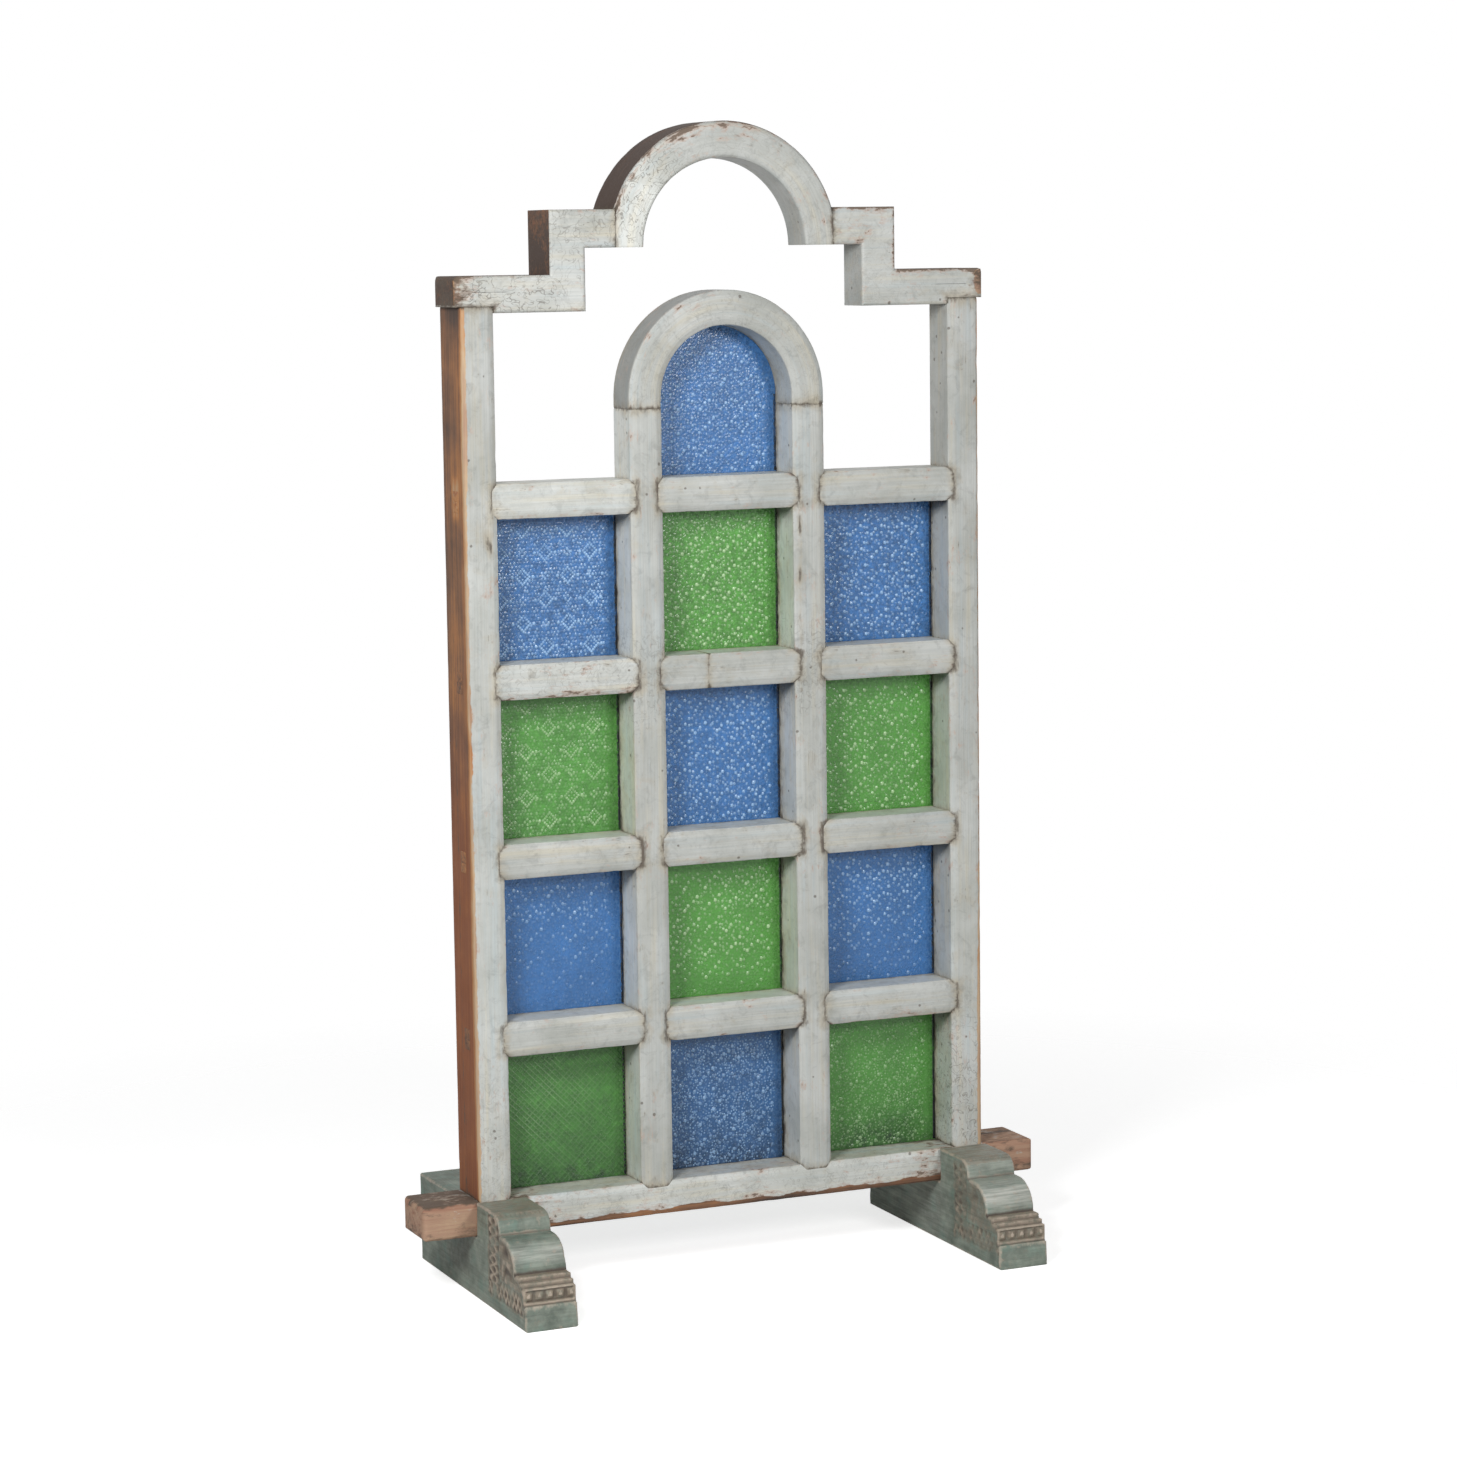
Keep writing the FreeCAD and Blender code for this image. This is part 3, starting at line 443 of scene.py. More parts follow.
def tee_section(half):
    """Section of a mullion, rail or arch: bevelled on both front edges, rebated on both back edges."""
    rib = half - REBATE
    return [(-half + BEVEL, 0, 2, 0.35), (half - BEVEL, 0, 2, 0.35), (half, BEVEL_DEPTH, 1.5, 0.9),
            (half, GLASS_DEPTH, 0.8, 0.2), (rib, GLASS_DEPTH, 0.5, 0), (rib, DEEP, 1, 0.4), (-rib, DEEP, 1, 0.4),
            (-rib, GLASS_DEPTH, 0.5, 0), (-half, GLASS_DEPTH, 0.8, 0.2), (-half, BEVEL_DEPTH, 1.5, 0.9)]


for name, side in SIDES.items():
    def mullion_seams(along, across, depth, ends):
        """Dirt on a mullion; the right one has a wandering crack along the left edge of its face."""
        joints = post_seams(along, across, ends, MULLION_HALF, (-1, 1))
        off = np.abs(across + MULLION_HALF - BEVEL - 2 * wander(along, 30, 81))
        patchy = np.clip(0.7 + 0.9 * wander(along, 22, 83), 0, 1)
        crack = ramp(off, 7, 0) * (np.abs(along - 1090) < 150) * patchy
        return np.maximum(joints, 1.1 * crack * (depth < 3) * (side > 0))

    timber(f"{name}_mullion", tee_section(MULLION_HALF),
           lambda depth: scribed_down(depth) if depth < GLASS_DEPTH + 0.4 else SILL_TOP - REBATE, ARCH_FOOT,
           lambda along, across, depth: (side * MULLION_X + across, FACE_Y + depth, along),
           seed=6 + side, seams=mullion_seams,
           glazed=lambda along, across: (along < ROWS["a"][1]) | (side * across < 0),
           # Painted light in the reveals and a painted shadow under each rail come through in_reveal
           shade=lambda along, across, depth: 0.9 * in_reveal(along, depth, True, 0.33 - 0.08 * side),
           wear=lambda along, across, depth: np.where(np.abs(along - 700) < 60, 0.5, 0.22),
           crazed=lambda along, across, depth: 0.5 * (np.abs(along - 985) < 80))


# Rails
# Twelve short bars between the posts. Each end is scribed over the bevels of its posts, which gives the
# front its eight-sided look, and is tenoned; beside a stile the tenon runs through to the outer face.

COLUMNS = {"left": (-STILE_IN, -MULLION_X - MULLION_HALF),
           "centre": (-MULLION_X + MULLION_HALF, MULLION_X - MULLION_HALF),
           "right": (MULLION_X + MULLION_HALF, STILE_IN)}


def over(depth):
    """How far a rail reaches past the clear opening, by depth: over a bevel, or into a rebate."""
    if depth < BEVEL_DEPTH:
        return BEVEL * (1 - max(depth, 0) / BEVEL_DEPTH) - 0.5
    return -0.3 if depth < GLASS_DEPTH + 0.4 else REBATE - 0.3


for seed, name in enumerate((f"rail_{row}_{column}" for row in ROWS for column in COLUMNS), 20):
    row, column = name.split("_")[1:]
    low, high = ROWS[row]
    left, right = COLUMNS[column]
    rubbed = name == "rail_b_left"

    def rail_seams(along, across, depth, ends):
        """Dirt at both ends, with a painted shadow making the right ends darker; least in the tight left joint of row
        a; and in the split of the middle rail of row b.
        """
        at_ends = ends * np.where(along > (left + right) / 2, 1.05, 0.6 if name == "rail_a_left" else 0.92)
        return np.maximum(at_ends, 1.25 * ramp(np.abs(along + 38), 9, 0) * (name == "rail_b_centre"))

    def rail_shade(along, across, depth):
        """Shade of the paint: palest on the left, and lighter on top, a painted light on the upper faces."""
        painted_lit_top = (across > 26) & (depth > 4)
        return {"rail_a_left": 1.08, "rail_b_left": 1.04}.get(name, 0.93) * np.where(painted_lit_top, 1.22, 1)

    timber(name, tee_section((high - low) / 2), lambda depth: left - over(depth), lambda depth: right + over(depth),
           lambda along, across, depth: (along, FACE_Y + depth, (low + high) / 2 + across),
           seed=seed, seams=rail_seams, shade=rail_shade, crazed=0.5 if rubbed else 0.1,
           glazed=lambda along, across: np.where((across < 0) | (row != "a") | (column == "centre"), 1.0, 0.5),
           wear=lambda along, across, depth: (0.5 if rubbed else 0.2) + 0.3 * (across < -17))


# Tenon ends and wedges
# Beside a stile a rail's tenon comes out flush in the bare side, with its end grain showing; a thin wedge, driven
# into a saw cut across the tenon, spreads it and stands a little proud.

TENON_FRONT, TENON_BACK, TENON_HALF = 30.0, 54.0, 17.0
WEDGE_LENGTH, WEDGE_BUTT, WEDGE_TIP = 36.0, 4.0, 1.5


def plug(side, z, rings, front, back):
    """Points and faces of a peg that runs out through a stile: rings of (x, half height, set in)."""
    points = []
    for x, half, inset in rings:
        low, high, near, far = z - half + inset, z + half - inset, front + inset, back - inset
        middle = (near + far) / 2
        loop = ((near, low), (middle, low), (far, low), (far, z), (far, high), (middle, high), (near, high), (near, z))
        points += [(side * x, FACE_Y + depth, up) for depth, up in loop]
    return points, bands(len(rings), 8)


wedge_points, wedge_faces, wedge_glow = [], [], []
for row in ROWS:
    for name, side in SIDES.items():
        z = sum(ROWS[row]) / 2
        glow = {"a_left": 1.1, "c_left": 0.7}.get(f"{row}_{name}", 0.45)
        rings = [(STILE_OUT - 3, TENON_HALF, 0), (STILE_OUT + 0.1, TENON_HALF, 0), (STILE_OUT + 0.4, TENON_HALF, 0.4),
                 (STILE_OUT + 0.45, TENON_HALF, 3)]
        points, faces = plug(side, z, rings, TENON_FRONT, TENON_BACK)
        points = np.array(points)
        # End grain: the grain runs into the face, so the long way of the pattern is x
        values = {"grain": points / 1000 + z / 700, "bare": np.ones(len(points)), "glow": np.full(len(points), glow),
                  "seam": np.repeat([1.0, 0.8, 0.4, 0.0], 8)}
        shell(f"tenon_end_{row}_{name}", points, faces, PAINTED, values, replaces=False)
        rings = [(STILE_OUT - WEDGE_LENGTH, WEDGE_TIP / 2, 0), (STILE_OUT + 0.2, WEDGE_BUTT / 2, 0),
                 (STILE_OUT + 0.8, WEDGE_BUTT / 2, 0.5)]
        points, faces = plug(side, z, rings, TENON_FRONT + 0.6, TENON_BACK - 0.6)
        wedge_faces += [tuple(len(wedge_points) + k for k in face) for face in faces]
        wedge_points += points
        wedge_glow += [glow - 0.15] * len(points)
wedges = np.array(wedge_points)
shell("tenon_wedges", wedges, wedge_faces, PAINTED,
      {"grain": wedges / 1000, "bare": np.ones(len(wedges)), "glow": wedge_glow})


# Centre arch
# The round head over the middle column, sawn to the mullions' own section, with two short legs that stand on the
# mullions' upper tenons.

ARCH_CENTRE = ARCH_TOP - MULLION_X - MULLION_HALF
ARCH_ROUND = math.pi * MULLION_X


def arch_place(along, across, depth):
    """Up the right leg, round the head, and down the left leg."""
    turn = np.clip(along / MULLION_X, 0, math.pi)
    leg = np.minimum(along, 0) + np.minimum(ARCH_ROUND - along, 0)
    reach = MULLION_X + across
    return reach * np.cos(turn), FACE_Y + depth, ARCH_CENTRE + leg + reach * np.sin(turn)


timber("centre_arch", tee_section(MULLION_HALF), ARCH_FOOT - ARCH_CENTRE, ARCH_ROUND + ARCH_CENTRE - ARCH_FOOT,
       arch_place, seed=40, crazed=0.3, glazed=lambda along, across: np.where(across < 0, 1.0, 0.3),
       shade=lambda along, across, depth: 0.9 - 0.3 * (across > MULLION_HALF - 2) * ramp(depth, 4, 9),
       wear=lambda along, across, depth: 0.2 + 0.4 * ramp(along, 230, 290) * ramp(across, -5, 15))


# Head steps
# The two Z-shaped corners of the head, each sawn from one board: a cap over the stile, a riser, and a bar
# that is tenoned into the crown arch. Their tops and outer sides were built in and are bare, dark wood.

CAP_LOW, CAP_HIGH = box("right_head_step")
CAP_TALL, CAP_ROUND = 58, 9
CAP_UNDER, CAP_TOP = CAP_LOW.z, CAP_LOW.z + CAP_TALL
BAR_UNDER, BAR_TOP = box("crown_arch")[0].z, CAP_HIGH.z
RISER_IN, RISER_OUT = 240.0, 300.0
CROWN_IN, CROWN_OUT = 140.0, 198.0
CROWN_JOINT = math.sqrt(CROWN_OUT ** 2 - (BAR_TOP - BAR_UNDER) ** 2)
# From the middle of the painted face outward, over the arris, back along the edge, and over the back: depth, inset
EDGE_DEPTHS = (0, 0.5, 1.3, 2.6, 4.2, 7, 10, 15, *np.linspace(24, GLASS_DEPTH - 0.4, 6), GLASS_DEPTH + 0.3, 78,
               DEEP - 9, DEEP - 4, DEEP - 1)
BOARD_RINGS = [*((0, inset) for inset in (22, 13, 7, 3)), *((depth, 0) for depth in EDGE_DEPTHS),
               (DEEP, 0.3), (DEEP, 0.9)]


def set_in(kind, depth):
    """How far an edge of this kind stands inside the sawn outline at a depth."""
    if kind == "joint":
        return 0.9 * max(0, 1 - depth / 1.5)
    near = min(depth, DEEP - depth)
    if kind == "end":
        return 10 - math.sqrt(100 - max(0, 10 - near) ** 2)
    soft = 3.6 * max(0, 1 - near / 4.2) ** 2 if depth < 20 else 1.2 * max(0, 1 - near / 2) ** 2
    return soft + (REBATE if kind == "inner" and depth > GLASS_DEPTH else 0)


def board(name, outline, side, seed, bare, worn, cracked):
    """One sawn board: an outline of (x, z, kind of edge) carried from the painted face to the back."""
    count = len(outline)
    flat = np.array([corner[:2] for corner in outline], float)
    kinds = [corner[2] for corner in outline]
    runs = np.roll(flat, -1, 0) - flat
    lengths = np.linalg.norm(runs, axis=1)
    inward = np.stack([-runs[:, 1], runs[:, 0]], 1) / lengths[:, None] * winding(flat)
    rows = []
    for depth, extra in BOARD_RINGS:
        gaps = [set_in(kind, depth) + extra for kind in kinds]
        corners = [flat[i] + np.linalg.solve(inward[[i - 1, i]], [gaps[i - 1], gaps[i]]) for i in range(count)]
        for i, kind in enumerate(kinds):
            pieces = max(2, math.ceil(lengths[i] / 7))
            for k in range(pieces):
                x, z = corners[i] + (corners[(i + 1) % count] - corners[i]) * k / pieces
                by_joint = kind == "joint" or (kinds[i - 1] == "joint" and k == 0)
                mark = 0 if kind == "joint" else max(0, 1 - abs(depth - 2) / 7) * max(0, 1 - extra / 9)
                rows.append((x, z, depth, mark * (0.35 if by_joint else 1),
                             0.9 * max(0, 1 - extra / 16) if by_joint else 0.6 if kind == "end" else 0,
                             bare(kind, depth, extra),
                             (2.1 if depth < 6 else 0.15) if kind == "end" else 0,
                             # Painted shade: the inner sides are darker than the rest of the board
                             0.84 if kind == "inner" and depth > 3 else 0.97, worn(x, z), cracked(x, z)))
    table = np.array(rows)
    points = table[:, :3]
    values = dict(zip(("arris", "seam", "bare", "glow", "shade", "wear", "crazed"), table[:, 3:].T))
    # The free corner of the cap is knocked round
    knocked = np.array([CAP_HIGH.x - CAP_ROUND, CAP_TOP - CAP_ROUND])
    reach = points[:, :2] - knocked
    far = np.hypot(*reach.T)
    off = (reach.min(1) > 0) & (far > CAP_ROUND)
    points[off, :2] = knocked + reach[off] / far[off, None] * CAP_ROUND
    swell = 0.25 * ripple(points, 60, seed)
    knock = 2.0 * np.clip(ripple(points, 22, seed + 3) - 0.1, 0, 1) + np.clip(ripple(points, 7, seed + 5), 0, 1)
    sunk = knock * values["arris"] * (points[:, 2] < 8)
    points[:, 2] += np.maximum(swell, 0) * (points[:, 2] < 1) + sunk * 0.7
    values["arris"] = values["arris"] + 0.25 * np.clip(sunk, 0, 1)
    values["grain"] = points / 1000 + np.array([1.37, 0.71, 0.43]) * seed
    places = np.stack([side * points[:, 0], FACE_Y + points[:, 2], points[:, 1]], 1)
    rings = len(BOARD_RINGS)
    shell(name, places, bands(rings, len(points) // rings), PAINTED, values)


for name, side in SIDES.items():
    def step_bare(kind, depth, extra):
        """Unpainted: the tops and outer sides, and round the corner of the cap's end; the back is painted."""
        if kind == "end" and depth <= 3:
            return (0.5 + 0.12 * side) * max(0, 1 - extra / 20)
        return 1.0 if kind in ("end", "outer") and 3 < depth < DEEP else 0.0

    def step_worn(x, z):
        """Worn at the free end of the cap and along the outer edge, on the right most of all."""
        gap = min(BAR_TOP - z if x < RISER_OUT else CAP_TOP - z,
                  RISER_OUT - x if CAP_TOP < z and x < RISER_OUT else 99)
        at_end = min(0.86, 1.05 - 0.15 * side - 0.016 * (CAP_HIGH.x - x))
        return max(at_end, 0.33 + 0.03 * side) + (0.475 + 0.225 * side) * max(0, 1 - gap / 12)

    board(f"{name}_head_step",
          [(STILE_IN, CAP_UNDER, "inner"), (RISER_IN, CAP_UNDER, "inner"), (RISER_IN, BAR_UNDER, "inner"),
           (CROWN_JOINT, BAR_UNDER, "joint"), (CROWN_JOINT, BAR_TOP, "outer"), (RISER_OUT, BAR_TOP, "outer"),
           (RISER_OUT, CAP_TOP, "outer"), (CAP_HIGH.x, CAP_TOP, "end"), (CAP_HIGH.x, STILE_TOP, "joint"),
           (STILE_IN, STILE_TOP, "joint")], side, seed=44 + side, bare=step_bare, worn=step_worn,
          cracked=lambda x, z: (1.0 if z < CAP_TOP and x > RISER_IN else 0.7) if side < 0 else 0.25)


# Crown arch
# The half-round top of the head, with its feet cut square against the two bars. Its upper side stood in
# the wall and is bare; the paint on its face is rubbed away along the outer edge.

CROWN_MIDDLE = (CROWN_IN + CROWN_OUT) / 2
CROWN_FACE = CROWN_OUT - CROWN_IN - 0.1   # a hair inside the sawn size, so the finer curve stays within it


def crown_place(along, across, depth):
    """Round the arch from its right foot to its left."""
    turn, reach = along / CROWN_MIDDLE, CROWN_IN + across
    return reach * np.cos(turn), FACE_Y + depth, BAR_UNDER + reach * np.sin(turn)


def crown_trim(along, across, depth):
    """Cut the feet square where they meet the bars."""
    turn, reach = along / CROWN_MIDDLE, CROWN_IN + across
    limit = CROWN_JOINT / np.maximum(np.abs(np.cos(turn)), 0.05)
    foot = reach * np.sin(turn) < BAR_TOP - BAR_UNDER + 0.5
    return along, np.where(foot, np.minimum(reach, limit), reach) - CROWN_IN, depth


def crown_seams(along, across, depth, ends):
    """Dirt where the feet meet the bars."""
    x, y, z = crown_place(along, across, depth)
    return 0.9 * ramp(np.abs(x), CROWN_JOINT - 16, CROWN_JOINT) * (z < BAR_TOP + 3)


def crown_bare(along, across, depth):
    """Bare: the upper side, and a ragged strip of the arris on the left."""
    ragged = 6 * (along > 280) * (1 + wander(along, 30, 77))
    return ramp(across, CROWN_FACE - 3, CROWN_FACE - 1) * np.clip((depth - 2 - ragged) / 2, 0, 1)


def crown_wear(along, across, depth):
    """Scraped along the outer edge: a broad band from the top to the left, a narrow one low on the right."""
    wide = 12 + 30 * ramp(along, 165, 225) * ramp(along, 420, 350)
    uneven = ripple(np.stack([along, across, depth], -1), 45, 71)
    streak = ripple(np.stack([along / 5, across, depth], -1), 5, 73)
    edge = np.clip((across - CROWN_FACE + wide * (1 + 0.5 * uneven)) / 9, 0, 1)
    place = np.clip(np.maximum((along - 150) / 60, (70 - along) / 40), 0.7, 1)
    return 0.28 + (0.53 + 0.42 * streak) * edge * place


timber("crown_arch",
       [(4, 0, 2, 0.5), (CROWN_FACE - 4, 0, 2, 1.0), (CROWN_FACE, 4, 2, 1.0), (CROWN_FACE, DEEP, 1.5, 0.5),
        (REBATE, DEEP, 1, 0.3), (REBATE, GLASS_DEPTH, 0.5, 0), (0, GLASS_DEPTH, 0.8, 0.2), (0, 4, 2, 0.6)],
       0, math.pi * CROWN_MIDDLE, crown_place, seed=48, trim=crown_trim, seams=crown_seams, eased=(0.8, 0.8),
       glazed=0.0, bare=crown_bare, wear=crown_wear,
       glow=lambda along, across, depth: -0.2 + 0.7 * ramp(depth, 6, 0),
       crazed=lambda along, across, depth: 0.25 + 0.75 * ramp(along, 330, 390),
       # The left leg is paler; the inner side of the arch is darker, a painted shade
       shade=lambda along, across, depth: (0.92 + 0.34 * ramp(along, 340, 430))
       * np.where((across < 2) & (depth > 4), 0.85, 1.0))


# Panes
# Squares of pressed glass, blue and green in turn: flowers of small beads, staggered diamonds, or a lattice of
# fine reeds, all pressed into the front. The raised parts carry painted glints, which fade where the rails and posts
# shade the glass.

# The second colour of each is the painted glint on the raised parts
GLASS = {"blue": ("#437CBB", "#A9D2FC"), "green": ("#5DA547", "#C4EAB0")}   # between the beads, and on them
# Used for soot and dust, and for the painted shade under the beads and in the corner
SOOT_AND_SHADE = "#20262B"


def pressed_glass(tint):
    """Coloured pressed glass: deep and even between the beads, with painted glints on them and painted shade under
    them, dusty low down.
    """
    material, node = blank(f"pressed {tint} glass")
    deep, pale = GLASS[tint]
    place = node("TexCoord", out="Object")
    crown, soil, dimpled = (node("Attribute", attribute_name=key, out="Fac") for key in ("crown", "soil", "dimpled"))
    cloud = node("TexNoise", place, 16, 4)
    colour = node("Mix", 1, deep, node("MapRange", cloud, 0.3, 0.7, 0.88, 1.1), blend_type="MULTIPLY")
    # Dimples about 10 mm apart, deeper in colour where the glass is thick
    dimple = node("TexNoise", place, 100, 3, 0.6)
    thick = node("MapRange", dimple, 0.36, 0.64, 0.72, 1.2)
    colour = node("Mix", dimpled, colour, thick, blend_type="MULTIPLY")
    film = node("TexNoise", place, 60, 5, 0.65)
    # Dust film and soot, with the painted shade under the beads and in the right-hand corner
    colour = node("Mix", node("Math", film, soil, operation="MULTIPLY"), colour, SOOT_AND_SHADE)
    # Painted glints: each mark is mixed towards the pale colour by its glint value
    colour = node("Mix", crown, colour, pale)
    # The roller left a grain of about 4 mm between the beads
    grain = node("TexVoronoi", place, 230, feature="SMOOTH_F1")
    bump = node("Bump", Strength=0.35, Distance=0.0012, Height=grain)
    rough = node("MapRange", film, 0, 1, 0.16, 0.34)
    node("OutputMaterial", node("BsdfPrincipled", colour, Roughness=rough, IOR=1.52, Normal=bump,
                                **{"Transmission Weight": 0.3}))
    return material


TINTS = {tint: pressed_glass(tint) for tint in GLASS}


class Relief:
    """Raised marks on the front of one pane, gathered as points (x, rise, z) in mm with the painted glint on each."""

    def __init__(self, inside, glint_light, seed):
        self.inside, self.glint_light = inside, glint_light
        self.points, self.faces, self.crown, self.soil = [], [], [], []
        self.dice = random.Random(seed)

    def rubbed(self, x, z, amount):
        """How strong a mark's painted glint is here, from 0 to 1: patchy, and less where the frame shades the glass."""
        patchy = 1 + 0.5 * noise.noise(Vector((x, z, 0)) / 45)
        return min(1, amount * patchy * self.glint_light(x, z))

    def point(self, x, rise, z, crown, soil):
        """Add one point, with its painted glint, and its dirt and painted shade."""
        self.points.append((x, rise, z))
        self.crown.append(crown)
        self.soil.append(soil)

    def bead(self, x, z, radius, rise, amount):
        """A round bead, with a painted shade on its lower side; one with little painted glint keeps a single ring of
        points.
        """
        if not self.inside(x, z, radius):
            return
        rub = self.rubbed(x, z, amount)
        first = len(self.points)
        self.point(x, rise, z, rub, 0)
        rings = ((0.6, 0.7, 0.95), (1.0, -0.05, 0.0)) if rub > 0.25 else ((1.0, -0.05, 0.0),)
        for part, height, shine in rings:
            for k in range(5):
                turn = 2 * math.pi * k / 5
                # The lower points of the outer ring are set a little wider and take a painted shade
                under = shine == 0 and k > 2
                wide = radius * part * (1.35 if under else 1)
                self.point(x + wide * math.cos(turn), rise * height, z + wide * math.sin(turn), rub * shine,
                           1.1 * rub if under else 0)
        for k in range(5):
            after = (k + 1) % 5
            self.faces.append((first, first + 1 + k, first + 1 + after))
            if len(rings) > 1:
                self.faces.append((first + 1 + k, first + 6 + k, first + 6 + after, first + 1 + after))

    def ridge(self, x0, z0, x1, z1, width, rise, amount, soil=0):
        """A straight raised line: of glass, or a dark strip of dirt and painted shade."""
        half = width / 2 / math.hypot(x1 - x0, z1 - z0)
        rub = self.rubbed((x0 + x1) / 2, (z0 + z1) / 2, amount)
        first = len(self.points)
        for x, z in ((x0, z0), (x1, z1)):
            for part, height, shine in ((-1, -0.05, 0), (-0.45, 0.8, 0.8), (0, 1, 1), (0.45, 0.8, 0.8), (1, -0.05, 0)):
                self.point(x - (z1 - z0) * half * part, rise * height, z + (x1 - x0) * half * part, rub * shine, soil)
        self.faces += [(first + k, first + k + 1, first + 6 + k, first + 5 + k) for k in range(4)]


# One repeat of the pressed pattern: places across and up it, and how high each bead stands. A ring of beads makes
# a flower, lowest one boldest, and a stem of bold beads leans away from it to the right.
FLOWER = ((0.30, 0.12, 1.0), (0.52, 0.36, 0.9), (0.78, 0.52, 0.9), (0.97, 0.76, 1.0), (0.97, 0.43, 0.55),
          (0.42, 0.20, 0.4), (0.13, 0.22, 0.5), (0.12, 0.42, 0.36), (0.30, 0.54, 0.34), (0.62, 0.04, 0.3),
          (0.10, 0.74, 0.32), (0.28, 0.90, 0.3), (0.80, 0.20, 0.32), (0.54, 0.84, 0.3), (0.66, 0.70, 0.3),
          (0.02, 0.98, 0.25))


def flowers(relief, left, right, low, high, amount, pitch=37.5, ground=0.32, grid=6.0):
    """Flowers of beads in rows, 37.5 mm apart, on a ground of low beads 6 mm apart, all pressed a little unevenly."""
    uniform = relief.dice.uniform
    shift_x, shift_z = uniform(-pitch, 0), uniform(-pitch, 0)
    for i in range(math.ceil((right - left) / pitch) + 1):
        for j in range(math.ceil((high - low) / pitch) + 1):
            for u, v, bold in FLOWER:
                bright = bold ** 0.85 * uniform(0.55, 1.2)
                x = left + shift_x + (i + u) * pitch + uniform(-1.4, 1.4)
                z = low + shift_z + (j + v) * pitch + uniform(-1.4, 1.4)
                relief.bead(x, z, 2.5 + 1.2 * bright, 0.4 + 0.5 * bright, amount * bright)
    for i in range(int((right - left) / grid)):
        for j in range(int((high - low) / grid)):
            x = left + (i + 0.5) * grid + uniform(-2, 2)
            z = low + (j + 0.5) * grid + uniform(-2, 2)
            relief.bead(x, z, 0.38 * grid, 0.3, ground * relief.dice.random())


def fine_beads(relief, left, right, low, high, amount):
    """The same flowers, pressed less boldly on a rougher ground."""
    flowers(relief, left, right, low, high, 0.75 * amount, pitch=35.0, ground=0.95 * amount, grid=4.8)


def diamonds(relief, left, right, low, high, amount):
    """Diamonds of beads in staggered rows, each with a bead on either side, over a ground of fine beads."""
    wide, tall, grid = 77.0, 75.0, 5.6
    uniform = relief.dice.uniform
    shift_x, shift_z = 26.0, uniform(20, 30)
    centres = [(left + shift_x + i * wide / 2, low + shift_z + j * tall + (i % 2) * tall / 2)
               for i in range(-1, 8) for j in range(-1, 5)]
    corners = ((-1, 0), (0, 1), (1, 0), (0, -1))
    for x, z in centres:
        for k, (ax, az) in enumerate(corners):
            bx, bz = corners[(k + 1) % 4]
            for part in (0, 0.25, 0.5, 0.75):
                bright = 1.15 if az + bz < 0 else 0.75
                relief.bead(x + 11.5 * (ax + (bx - ax) * part), z + 12.5 * (az + (bz - az) * part), 2.9, 0.8,
                            amount * bright * uniform(0.6, 1.1))
            relief.bead(x + 4.5 * ax, z + 4.5 * az, 2.3, 0.5, amount * 0.5)
        for dx in (-17.5, 17.5):
            relief.bead(x + dx, z, 3.4, 0.7, amount)
        for dx, dz in corners:
            relief.bead(x + wide / 2 + 4.5 * dx, z + 4.5 * dz, 2.8, 0.5, amount * 0.8)
    for i in range(int((right - left) / grid)):
        for j in range(int((high - low) / grid)):
            x, z = left + 3 + (i + (j % 2) / 2) * grid, low + 3 + j * grid
            if all(abs(x - cx) / 15 + abs(z - cz) / 16 > 1 for cx, cz in centres):
                relief.bead(x + uniform(-1, 1), z + uniform(-1, 1), 2.8, 0.35, amount * 0.7 * uniform(0.1, 1) ** 1.7)


def reeds(relief, left, right, low, high, amount):
    """Two sets of fine ridges, crossing at right angles, 7 mm apart, with painted glints here and there."""
    wide, tall = right - left, high - low
    gap, parts = 7 * math.sqrt(2), 14
    for way in (1, -1):
        for k in range(int((wide + tall) / gap)):
            start = -tall + (k + 0.5) * gap
            low_x, high_x = max(0, start), min(wide, start + tall)
            if high_x - low_x < 4:
                continue
            x0, x1 = (low_x, high_x) if way > 0 else (wide - low_x, wide - high_x)
            bold = (1.0 if way < 0 else 0.7) * relief.dice.uniform(0.7, 1.3)
            for part in range(parts):
                (xa, za), (xb, zb) = ((left + x0 + (x1 - x0) * t, low + low_x - start + (high_x - low_x) * t)
                                      for t in (part / parts, (part + 1) / parts))
                aside = 0.25 + 0.75 * min(1, max(0, 1.25 - ((xa + xb) / 2 - left) / wide))
                relief.ridge(xa, za, xb, zb, 2.6, 0.5, amount * bold * aside * relief.dice.uniform(0.4, 1.2))


def flat_fill(outline, step, inside):
    """Points and triangles that fill an outline evenly; the outline's own points come first."""
    spots = [Vector(p) for p in outline]
    low, high = np.min(np.array(outline), 0), np.max(np.array(outline), 0)
    for i in range(1, int((high[0] - low[0]) / step) + 1):
        for j in range(1, int((high[1] - low[1]) / step) + 1):
            spot = (low[0] + (i + (j % 2) / 2) * step, low[1] + j * step)
            if inside(*spot):
                spots.append(Vector(spot))
    edges = [(k, (k + 1) % len(outline)) for k in range(len(outline))]
    made = geometry.delaunay_2d_cdt(spots, edges, [], 1, 1e-4)
    return [tuple(p) for p in made[0]], [tuple(face) for face in made[2]]


